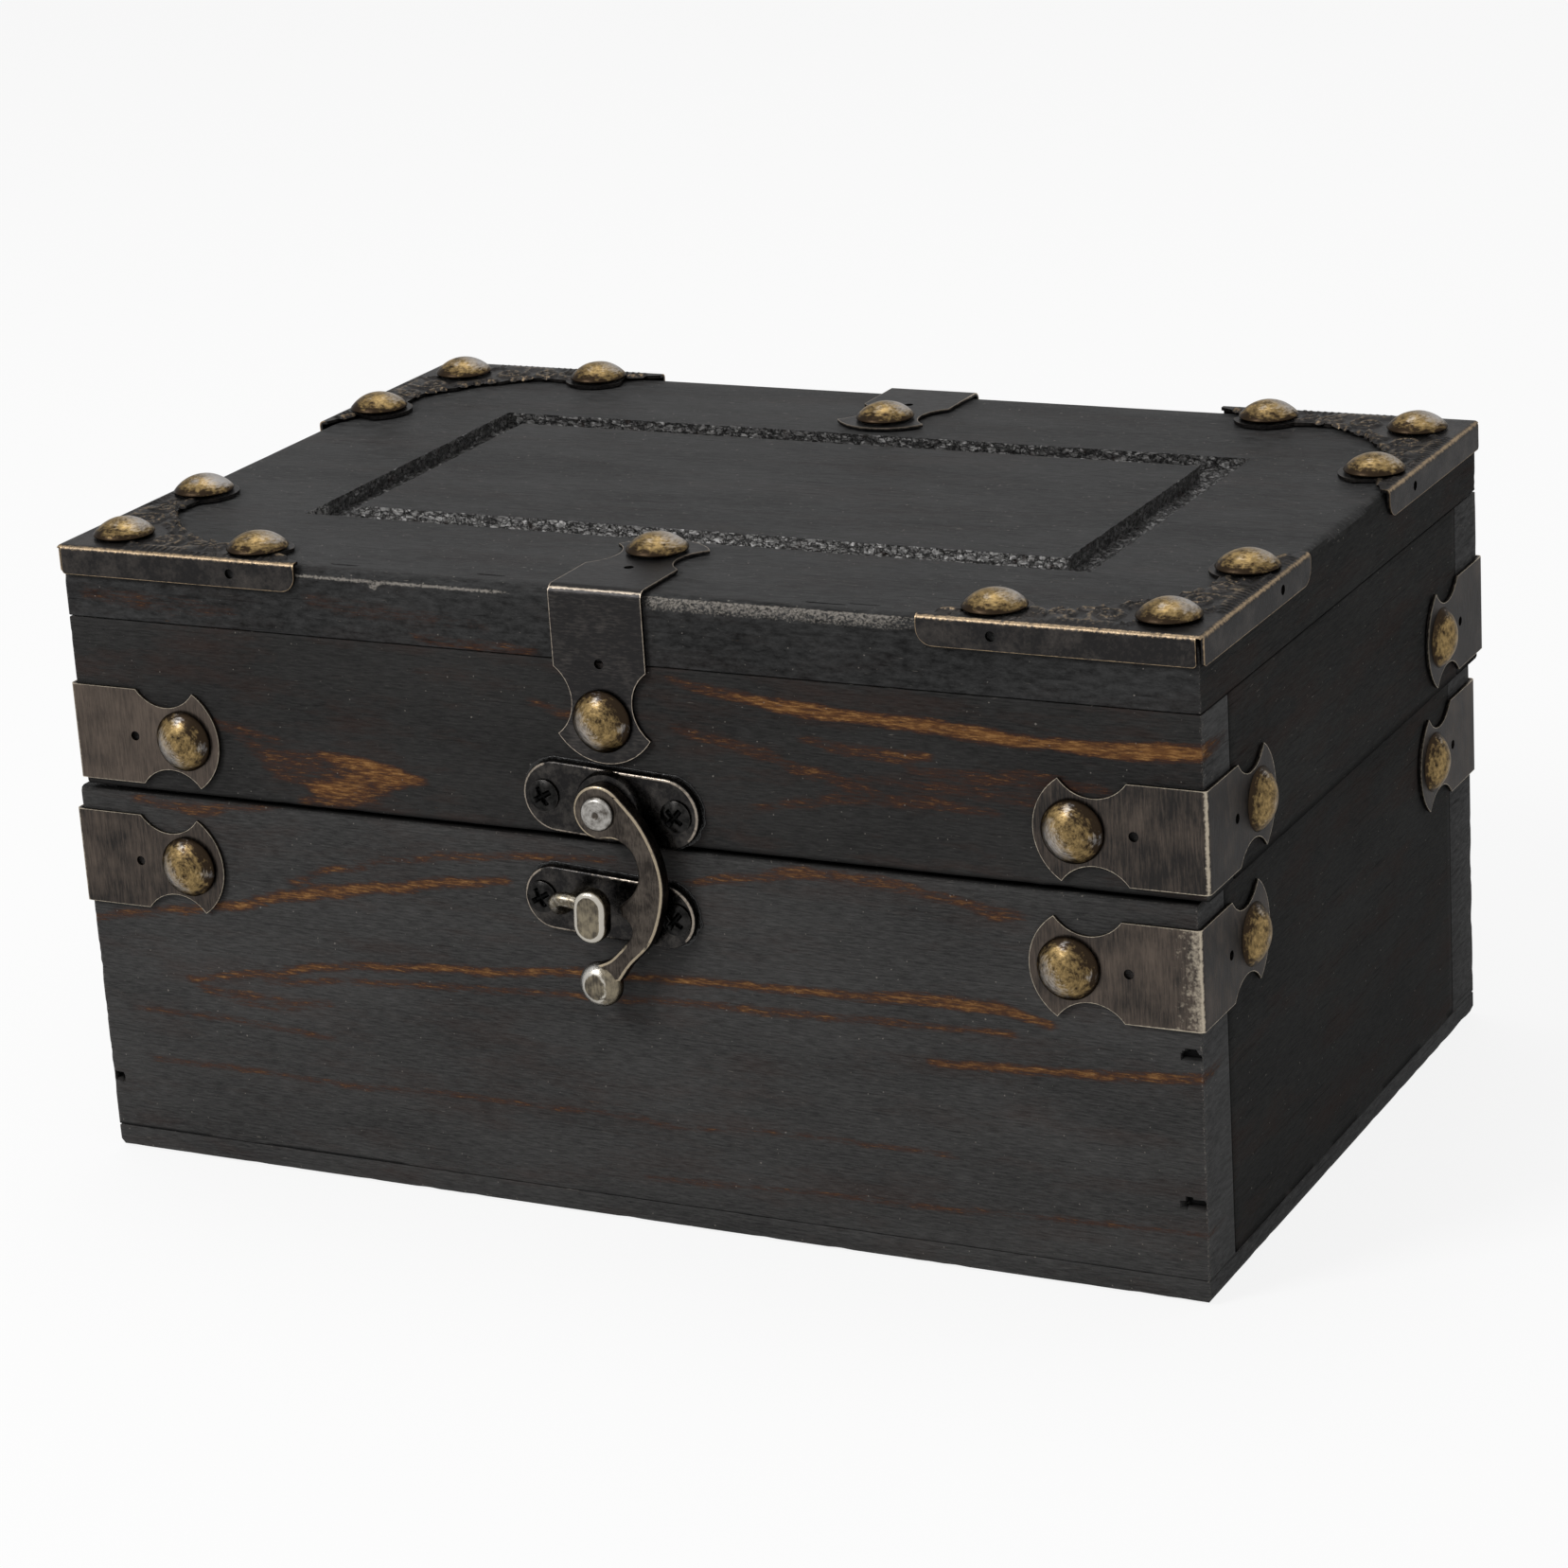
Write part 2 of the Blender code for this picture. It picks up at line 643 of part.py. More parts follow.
def plate_outline():
    """The flat blank: the corner is at (0, 0), and each flap lies beyond an axis."""
    edge, cusps = plate_half_edge()
    outline = [(0, 0), (FLAP_RELIEF, 0)]
    outline += arc((FLAP_RELIEF + 0.0006, -FLAP_HEIGHT + 0.0006), 0.0006, 180, 270, 2)
    outline += arc((PLATE_REACH - FLAP_ROUND, -FLAP_HEIGHT + FLAP_ROUND), FLAP_ROUND, -90, 0, 4)
    outline += [(PLATE_REACH, 0)] + edge
    for first, second in zip(cusps, cusps[1:]):
        outline += bow(first, second, PLATE_SCALLOP_DEPTH, 4)[:-1]
    outline.append(tuple(cusps[-1]))
    half = [(0, 0), (FLAP_RELIEF, 0)]
    half += arc((FLAP_RELIEF + 0.0006, -FLAP_HEIGHT + 0.0006), 0.0006, 180, 270, 2)
    half += arc((PLATE_REACH - FLAP_ROUND, -FLAP_HEIGHT + FLAP_ROUND), FLAP_ROUND, -90, 0, 4)
    half += [(PLATE_REACH, 0)] + edge
    outline += [(y, x) for x, y in reversed(half[1:])]
    return outline


PLATE_NAILS = (
    ("corner", PLATE_CORNER_NAIL, PLATE_CORNER_NAIL),
    ("long", PLATE_END_NAIL, PLATE_END_NAIL_INSET),
    ("short", PLATE_END_NAIL_INSET, PLATE_END_NAIL),
)


def add_corner_plate(end_name, end, side_name, side):
    name = "_".join(("corner_plate", end_name, side_name))
    holes = [circle((x, y), NAIL_HOLE_RADIUS) for label, x, y in PLATE_NAILS]
    holes.append(circle((FLAP_BRAD, -FLAP_HEIGHT * 0.45), BRAD_HOLE_RADIUS))
    holes.append(circle((-FLAP_HEIGHT * 0.45, FLAP_BRAD), BRAD_HOLE_RADIUS))
    mesh = outline_mesh(name, [plate_outline()] + holes)
    fold_mesh(mesh, (0, 0, 0), "X", (0, -1, 0), QUARTER)
    fold_mesh(mesh, (0, 0, 0), "Y", (-1, 0, 0), -QUARTER)
    bm = bmesh.new()
    bm.from_mesh(mesh)
    bmesh.ops.scale(bm, vec=(-side, -end, 1), verts=bm.verts)
    if side * end < 0:
        bmesh.ops.reverse_faces(bm, faces=bm.faces)
    bm.to_mesh(mesh)
    bm.free()
    corner = Vector((LID_OFFSET + side * HALF_WIDTH, end * HALF_DEPTH, LID_TOP))
    place = corner + Vector((side, end, 1)) * SEAT_GAP
    plate = new_part(name, mesh, STRAP_METAL, LID_BODY, place)
    thicken(plate)
    for label, x, y in PLATE_NAILS:
        face_point = corner + Vector((side * (SEAT_GAP - x), end * (SEAT_GAP - y), 0))
        nail_name = "_".join(("top_nail", end_name, side_name, label))
        add_nail(nail_name, top_board, face_point, UP, LID_BODY)


for end_name, end in (("front", -1), ("back", 1)):
    for side_name, side in (("left", -1), ("right", 1)):
        add_corner_plate(end_name, end, side_name, side)


# Butt hinges: two knuckles on the base's leaf, one on the lid's, and a pin through them
LEAF_SCREW_RADIUS = NAIL_SHANK_RADIUS
leaf_screw_mesh = turned_mesh("leaf_screw", dome_profile(
    LEAF_SCREW_HEAD_RADIUS, LEAF_SCREW_HEAD_HEIGHT, 0.0002, LEAF_SCREW_RADIUS, LEAF_SCREW_SHANK_LENGTH,
    NAIL_POINT, 2))
KNUCKLE = (HINGE_WIDTH - 2 * KNUCKLE_GAP) / 3
HINGE_TURN = facing(RIGHT)


def barrel_mesh(name, radius, spans):
    bm = bmesh.new()
    for low, high in spans:
        matrix = Matrix.Translation(((low + high) / 2, 0, 0)) @ HINGE_TURN.to_4x4()
        bmesh.ops.create_cone(bm, cap_ends=True, segments=FINE_STEPS, radius1=radius, radius2=radius,
                              depth=high - low, matrix=matrix)
    return mesh_from(bm, name)


def add_leaf(name, hinge_x, sense, spans, notches, board, body):
    """A leaf on the back face: sense is -1 for the base's, below the axis, and 1 for the lid's."""
    axis = Vector((hinge_x, HINGE_AXIS.y, HINGE_AXIS.z))
    inner = HALF_DEPTH + SEAT_GAP - axis.y
    outer = inner + LEAF_THICKNESS
    near, far = sense * 0.0002, sense * HINGE_LEAF
    low, high = sorted((near, far))
    half = HINGE_WIDTH / 2
    leaf = new_part(name, box_mesh(name, (-half, inner, low), (half, outer, high)), HINGE_METAL, body,
                    axis)
    clear = BARREL_RADIUS + KNUCKLE_GAP
    bm = bmesh.new()
    for start, end in notches:
        piece = bmesh.ops.create_cube(bm, size=1)["verts"]
        bmesh.ops.scale(bm, vec=(end - start, 4 * clear, 2 * clear), verts=piece)
        bmesh.ops.translate(bm, vec=((start + end) / 2, 0, 0), verts=piece)
    join_shape(leaf, new_cutter(name + "_notch", mesh_from(bm, name + "_notch"), axis), "DIFFERENCE")
    knuckles = new_cutter(name + "_knuckles", barrel_mesh(name + "_knuckles", BARREL_RADIUS, spans), axis)
    join_shape(leaf, knuckles, "UNION")
    bore = new_cutter(name + "_bore", barrel_mesh(name + "_bore", PIN_RADIUS + PIN_CLEARANCE,
                                                  [(-HINGE_WIDTH, HINGE_WIDTH)]), axis)
    join_shape(leaf, bore, "DIFFERENCE")
    for side in (-1, 1):
        face_point = Vector((hinge_x + side * LEAF_SCREW_SPACING / 2, HALF_DEPTH,
                             axis.z + sense * LEAF_SCREW_DROP))
        seat = face_point + BACK * (SEAT_GAP + LEAF_THICKNESS / 2)
        screw = new_cutter(name + "_screw", leaf_screw_mesh, seat, facing(BACK))
        turn_profile(screw)
        join_shape(leaf, screw, "UNION")
        note_pilot(board, face_point, BACK, LEAF_SCREW_RADIUS + PILOT_CLEARANCE,
                   LEAF_SCREW_SHANK_LENGTH + NAIL_POINT)


def add_hinge(side_name, hinge_x):
    half = HINGE_WIDTH / 2
    middle = KNUCKLE / 2
    outer_spans = [(-half, -half + KNUCKLE), (half - KNUCKLE, half)]
    middle_span = [(-middle, middle)]
    middle_notch = [(-middle - KNUCKLE_GAP, middle + KNUCKLE_GAP)]
    outer_notches = [(-half - 0.001, -middle), (middle, half + 0.001)]
    add_leaf("hinge_base_leaf_" + side_name, hinge_x, -1, outer_spans, middle_notch,
             base_walls["back"], BASE_BODY)
    add_leaf("hinge_lid_leaf_" + side_name, hinge_x, 1, middle_span, outer_notches,
             lid_walls["back"], LID_BODY)
    reach = half + SEAT_GAP
    head = BARREL_RADIUS * 0.85
    profile = [(0, reach + PIN_HEAD), (head, reach + PIN_HEAD), (head, reach), (PIN_RADIUS, reach),
               (PIN_RADIUS, -reach), (head, -reach), (head, -reach - PIN_HEAD), (0, -reach - PIN_HEAD)]
    name = "hinge_pin_" + side_name
    pin = new_part(name, turned_mesh(name, profile), HINGE_METAL, BASE_BODY,
                   (hinge_x, HINGE_AXIS.y, HINGE_AXIS.z), HINGE_TURN)
    turn_profile(pin)


hinge_reach = HALF_WIDTH - abs(LID_OFFSET) - STRAP_LEG - HINGE_STRAP_GAP - HINGE_WIDTH / 2
add_hinge("left", -hinge_reach)
add_hinge("right", hinge_reach)


# Castings on the front stand with their own Z towards the viewer and their own X to the right
FRONT_FRAME = Matrix((RIGHT, UP, FRONT)).transposed()
TILTED_FRAME = FRONT_FRAME @ Matrix.Rotation(-LATCH_TILT, 3, "Z")
SCREW_HOLE_RADIUS = SCREW_SHANK_RADIUS + PILOT_CLEARANCE


def cross_mesh():
    """The plus-shaped punch that sinks a screw head's recess."""
    reach, half = CROSS_LENGTH / 2, CROSS_WIDTH / 2
    quarter = [(reach, half), (half, half), (half, reach)]
    outline = []
    for turn in range(4):
        spin = Matrix.Rotation(QUARTER * turn, 2)
        outline += [tuple(spin @ Vector(point)) for point in quarter]
    return outline_mesh("cross_recess", [outline], CROSS_DEPTH * 2)


screw_mesh = turned_mesh("cross_screw", dome_profile(
    SCREW_HEAD_RADIUS, SCREW_HEAD_HEIGHT, 0.0004, SCREW_SHANK_RADIUS, SCREW_SHANK_LENGTH, NAIL_POINT))
recess_mesh = cross_mesh()


def add_screws(prefix, centre, spacing, board, body):
    for side_name, side in (("left", -1), ("right", 1)):
        offset = TILTED_FRAME @ Vector((side * spacing / 2, 0, 0))
        face_point = centre + offset
        seat = face_point + FRONT * (PLATE_FRONT + SEAT_GAP)
        name = "_".join((prefix, "screw", side_name))
        screw = new_part(name, screw_mesh, SCREW_METAL, body, seat, FRONT_FRAME)
        turn_profile(screw)
        floor = seat + FRONT * (SCREW_HEAD_HEIGHT - CROSS_DEPTH)
        recess = new_cutter(name + "_recess", recess_mesh, floor, TILTED_FRAME)
        join_shape(screw, recess, "DIFFERENCE")
        note_pilot(board, face_point, FRONT, SCREW_HOLE_RADIUS, SCREW_SHANK_LENGTH + NAIL_POINT)


def casting_plate(name, length, height, screw_spacing, extra_holes, centre, body):
    outlines = [stadium(length, height)]
    outlines += [circle((side * screw_spacing / 2, 0), SCREW_HOLE_RADIUS) for side in (-1, 1)]
    outlines += extra_holes
    mesh = outline_mesh(name, outlines, CASTING_THICKNESS)
    return new_part(name, mesh, LATCH_METAL, body, centre + FRONT * SEAT_GAP, TILTED_FRAME)


# Latch plate: a bar with a raised hub that carries the arm's rivet
RIVET_HOLE_RADIUS = RIVET_SHANK_RADIUS + PILOT_CLEARANCE


def add_latch_plate():
    rivet_hole = circle((0, 0), RIVET_HOLE_RADIUS, ROUND_STEPS)
    plate = casting_plate("latch_plate", LATCH_PLATE_LENGTH, LATCH_PLATE_HEIGHT, SCREW_SPACING,
                          [rivet_hole], LATCH_CENTRE, LID_BODY)
    hub_edge = min(HUB_RADIUS, LATCH_PLATE_HEIGHT / 2 - 0.0004)
    hub_sink = CASTING_THICKNESS / 2
    hub = outline_mesh("latch_hub", [circle((0, 0), hub_edge, FINE_STEPS), rivet_hole],
                       HUB_HEIGHT + hub_sink)
    seat = LATCH_CENTRE + FRONT * (PLATE_FRONT - hub_sink)
    join_shape(plate, new_cutter("latch_hub", hub, seat, TILTED_FRAME), "UNION")


add_latch_plate()
add_screws("latch", LATCH_CENTRE, SCREW_SPACING, lid_walls["front"], LID_BODY)

RIVET_SHANK_LENGTH = ARM_FRONT
rivet_profile = dome_profile(RIVET_HEAD_RADIUS, RIVET_HEAD_HEIGHT, 0.0005, RIVET_SHANK_RADIUS,
                             RIVET_SHANK_LENGTH, 0)
rivet = new_part("latch_rivet", turned_mesh("latch_rivet", rivet_profile), RIVET_METAL, LID_BODY,
                 LATCH_CENTRE + FRONT * (ARM_FRONT + SEAT_GAP), FRONT_FRAME)
turn_profile(rivet, FINE_STEPS)


# Latch arm: a ring on the rivet, a crescent with a notch for the peg, and a ball to push
def arm_outline():
    """The arm's edge, clockwise from the top of its ring. The rivet is at (0, 0)."""
    neck = (BALL_SIDE + ARM_NECK, -BALL_DROP)
    outer = smooth_line(ARM_OUTER_CURVE + (neck,), 3)
    within_ball = [(BALL_SIDE, -BALL_DROP)]
    inner_low = smooth_line(ARM_TAIL_CURVE, 3)
    notch_arc = arc((NOTCH_SIDE, -NOTCH_DROP), NOTCH_RADIUS, -52, 76, 7)
    inner_high = smooth_line(ARM_INNER_CURVE, 3)
    ring = arc((0, 0), ARM_RING_RADIUS, 262, 46, 12)
    return outer + within_ball + inner_low + notch_arc + inner_high[:-1] + ring


def add_arm():
    rivet_hole = circle((0, 0), RIVET_HOLE_RADIUS, ROUND_STEPS)
    mesh = outline_mesh("latch_arm", [arm_outline(), rivet_hole], ARM_THICKNESS)
    arm = new_part("latch_arm", mesh, LATCH_METAL, ARM_BODY, LATCH_CENTRE, FRONT_FRAME)
    mesh.transform(Matrix.Translation((0, 0, ARM_BACK)))
    bevel = arm.modifiers.new("edges", "BEVEL")
    bevel.width = ARM_BEVEL
    bevel.segments = 1
    bevel.limit_method = "ANGLE"
    bevel.angle_limit = math.radians(60)
    bm = bmesh.new()
    bmesh.ops.create_uvsphere(bm, u_segments=12, v_segments=8, radius=1)
    bmesh.ops.scale(bm, vec=(BALL_RADIUS, BALL_RADIUS, BALL_HALF_THICKNESS), verts=bm.verts)
    place = Vector((BALL_SIDE, -BALL_DROP, (ARM_BACK + ARM_FRONT) / 2))
    ball = new_cutter("latch_ball", mesh_from(bm, "latch_ball"), LATCH_CENTRE + FRONT_FRAME @ place,
                      FRONT_FRAME)
    join_shape(arm, ball, "UNION")


add_arm()


# Catch: a bar with a bent peg whose upright head holds the arm
def tube_mesh(name, points, radius):
    curve = bpy.data.curves.new(name, "CURVE")
    curve.dimensions = "3D"
    curve.bevel_depth = radius
    curve.bevel_resolution = 2
    curve.use_fill_caps = True
    spline = curve.splines.new("POLY")
    spline.points.add(len(points) - 1)
    for point, place in zip(spline.points, points):
        point.co = (*place, 1)
    holder = bpy.data.objects.new(name, curve)
    CUTTERS.objects.link(holder)
    bpy.context.view_layer.update()
    evaluated = holder.evaluated_get(bpy.context.evaluated_depsgraph_get())
    mesh = bpy.data.meshes.new_from_object(evaluated)
    bpy.data.objects.remove(holder)
    bm = bmesh.new()
    bm.from_mesh(mesh)
    bmesh.ops.remove_doubles(bm, verts=bm.verts, dist=0.000005)
    bmesh.ops.recalc_face_normals(bm, faces=bm.faces)
    bm.to_mesh(mesh)
    bm.free()
    return mesh


def add_catch():
    catch = casting_plate("catch_plate", CATCH_PLATE_LENGTH, CATCH_PLATE_HEIGHT, CATCH_SCREW_SPACING,
                          [], CATCH_CENTRE, BASE_BODY)
    head_back = ARM_FRONT + PEG_TO_ARM
    bend = head_back + PEG_HEAD_THICKNESS / 2
    root = (PEG_SIDE, -0.0002, SEAT_GAP + CASTING_THICKNESS / 2)
    path = smooth_line([root, (PEG_SIDE, -0.0002, ARM_BACK), (PEG_SIDE, 0.0001, ARM_FRONT),
                        (PEG_SIDE + 0.0013, 0.0017, bend - 0.0004), (PEG_SIDE + 0.0040, 0.0025, bend),
                        (PEG_HEAD_SIDE, 0.0020, bend)], 3)
    peg = new_cutter("peg", tube_mesh("peg", path, PEG_RADIUS), CATCH_CENTRE, TILTED_FRAME)
    join_shape(catch, peg, "UNION")
    outline = stadium(PEG_HEAD_HEIGHT, PEG_HEAD_WIDTH, 6)
    head_mesh = outline_mesh("peg_head", [[(-y, x) for x, y in outline]], PEG_HEAD_THICKNESS)
    place = CATCH_CENTRE + TILTED_FRAME @ Vector((PEG_HEAD_SIDE, PEG_HEAD_RISE, head_back))
    head = new_cutter("peg_head", head_mesh, place, TILTED_FRAME)
    bevel = head.modifiers.new("edges", "BEVEL")
    bevel.width = 0.0004
    bevel.segments = 1
    bevel.limit_method = "ANGLE"
    bevel.angle_limit = math.radians(60)
    join_shape(catch, head, "UNION")


add_catch()
add_screws("catch", CATCH_CENTRE, CATCH_SCREW_SPACING, base_walls["front"], BASE_BODY)

drill_boards()


def shade_round_pieces():
    for thing in PARTS.objects:
        if thing.type == "MESH":
            thing.data.shade_smooth()
            thing.data.set_sharp_from_angle(angle=math.radians(35))


shade_round_pieces()
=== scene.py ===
"""Small decorative storage box: black-stained pine with antique bronze straps, embossed corner
plates, dome nails and a swing latch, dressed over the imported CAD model."""
import math

import bmesh
import bpy
from mathutils import Matrix, Vector, noise


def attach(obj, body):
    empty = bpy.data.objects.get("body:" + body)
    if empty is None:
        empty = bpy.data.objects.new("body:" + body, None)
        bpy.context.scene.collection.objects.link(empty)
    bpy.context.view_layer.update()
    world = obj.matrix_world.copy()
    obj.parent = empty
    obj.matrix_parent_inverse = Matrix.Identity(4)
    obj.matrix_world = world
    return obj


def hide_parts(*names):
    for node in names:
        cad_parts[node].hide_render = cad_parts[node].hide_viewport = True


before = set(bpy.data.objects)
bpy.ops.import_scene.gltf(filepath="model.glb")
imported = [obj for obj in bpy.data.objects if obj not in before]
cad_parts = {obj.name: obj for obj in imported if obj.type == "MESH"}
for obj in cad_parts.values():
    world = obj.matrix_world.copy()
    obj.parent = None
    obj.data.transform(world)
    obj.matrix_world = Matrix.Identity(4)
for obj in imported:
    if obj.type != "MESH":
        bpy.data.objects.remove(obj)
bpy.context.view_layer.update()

# Camera
# The lens and the place come from the box's own corners in the photograph: a long lens from the
# front right, a little above the lid, with the camera rolled slightly.
scene = bpy.context.scene
camera_data = bpy.data.cameras.new("camera")
camera_data.sensor_width = 36
camera_data.lens = 106.28
camera_data.clip_start = 0.01
camera = bpy.data.objects.new("camera", camera_data)
camera.location = (0.37767, -0.73051, 0.33598)
camera.rotation_euler = (math.radians(71.392), math.radians(3.490), math.radians(26.209))
scene.collection.objects.link(camera)
scene.camera = camera
scene.view_settings.view_transform = "Standard"


# Studio
# A white floor and a white room. The camera and the metal see them as plain white, and the floor
# keeps only a faint shadow under the box, as a product photograph does.
def linear(code):
    """A colour's linear values from its sRGB hex code."""
    values = [int(code[i:i + 2], 16) / 255 for i in (0, 2, 4)]
    return [v / 12.92 if v <= 0.04045 else ((v + 0.055) / 1.055) ** 2.4 for v in values] + [1]


def new_material(name):
    """A material whose node tree is still empty."""
    material = bpy.data.materials.new(name)
    material.use_nodes = True
    tree = material.node_tree
    tree.nodes.clear()
    return material, tree


def node(tree, kind, sockets=None, **settings):
    """Adds a node with its settings. Each socket takes a plain value or another node's output."""
    new = tree.nodes.new("ShaderNode" + kind)
    for name, value in settings.items():
        setattr(new, name, value)
    for socket, value in (sockets or {}).items():
        if isinstance(value, bpy.types.Node):
            value = value.outputs[0]
        if isinstance(value, bpy.types.NodeSocket):
            tree.links.new(value, new.inputs[socket])
        else:
            new.inputs[socket].default_value = value
    return new


def seen_directly(tree):
    """1 where the camera sees a surface, straight or in gloss or glass, and 0 where it gives light."""
    paths = node(tree, "LightPath")
    seen = node(tree, "Math", {0: paths.outputs["Is Camera Ray"], 1: paths.outputs["Is Glossy Ray"]},
                operation="MAXIMUM")
    return node(tree, "Math", {0: seen, 1: paths.outputs["Is Transmission Ray"]}, operation="MAXIMUM")


white_floor, tree = new_material("white painted studio floor")
matt = node(tree, "BsdfDiffuse", {"Color": linear("D4D4D4")})
faint = node(tree, "BsdfDiffuse", {"Color": linear("6A6A6A")})
glow = node(tree, "Emission", {"Color": linear("FFFFFF"), "Strength": 0.86})
lit = node(tree, "AddShader", {0: faint, 1: glow})
mixed = node(tree, "MixShader", {0: seen_directly(tree), 1: matt, 2: lit})
node(tree, "OutputMaterial", {0: mixed})

floor_mesh = bpy.data.meshes.new("floor")
floor_shape = bmesh.new()
bmesh.ops.create_grid(floor_shape, x_segments=1, y_segments=1, size=4)
floor_shape.to_mesh(floor_mesh)
floor_shape.free()
floor_mesh.materials.append(white_floor)
floor = bpy.data.objects.new("floor", floor_mesh)
scene.collection.objects.link(floor)

room = bpy.data.worlds.new("white room")
scene.world = room
room.use_nodes = True
tree = room.node_tree
tree.nodes.clear()
dim = node(tree, "Background", {"Color": linear("FFFFFF"), "Strength": 0.40})
bright = node(tree, "Background", {"Color": linear("FFFFFF"), "Strength": 1.0})
mixed = node(tree, "MixShader", {0: seen_directly(tree), 1: dim, 2: bright})
node(tree, "OutputWorld", {0: mixed})

LAMPS = (
    ("key softbox", (-0.66, -1.05, 1.05), 0.45, 0.45, 10.0),
    ("top softbox", (-0.20, 0.25, 1.30), 0.6, 0.6, 3.0),
)
for name, place, wide, tall, power in LAMPS:
    lamp_data = bpy.data.lights.new(name, "AREA")
    lamp_data.shape = "RECTANGLE"
    lamp_data.size = wide
    lamp_data.size_y = tall
    lamp_data.energy = power
    lamp = bpy.data.objects.new(name, lamp_data)
    lamp.location = place
    aim = Vector((0, 0, 0.06)) - Vector(place)
    lamp.rotation_euler = aim.to_track_quat("-Z", "Y").to_euler()
    scene.collection.objects.link(lamp)

# Boards
# Ten planed pine boards, glued and bradded butt to butt, stained black and rubbed back by hand.
# The rubbing shows orange-brown summerwood in streaks, and the edges are worn to pale fibre.
HALF_WIDTH = 0.110
HALF_DEPTH = 0.070
WALL = 0.012
BOTTOM_TOP = 0.0045
BASE_FOOT = 0.0046
BASE_RIM = 0.072
LID_X = 0.0018
LID_RIM = 0.0725
LID_HEAD = 0.1048
TOP_BOARD_FOOT = 0.105
LID_TOP = 0.1175
SIDE_GAP = 0.0003
ROUNDING = 0.0009
SEAM_ROUNDING = 0.0002
EDGE_WEAR_REACH = 0.0014
# The front faces have a mesh fine enough for the streaks; the others only need their worn edges
LENGTH_CUTS = 88
DEPTH_CUTS = 58
FRONT_STEP = 0.00045
PLAIN_STEP = 0.0015
# Signs along y and x
ENDS = (("front", -1), ("back", 1))
SIDES = (("left", -1), ("right", 1))


def millimetres(tree, turn=0):
    """A material's own space in millimetres, turned about z."""
    place = node(tree, "TexCoord")
    return node(tree, "Mapping", {0: place.outputs["Object"], "Scale": (1000, 1000, 1000),
                                  "Rotation": (0, 0, turn)})


def surface(tree, height, strength, distance, looks):
    """Ends a material with its bump and its shader."""
    bump = node(tree, "Bump", {"Strength": strength, "Distance": distance, "Height": height})
    shader = node(tree, "BsdfPrincipled", {"Normal": bump, **looks})
    node(tree, "OutputMaterial", {0: shader})


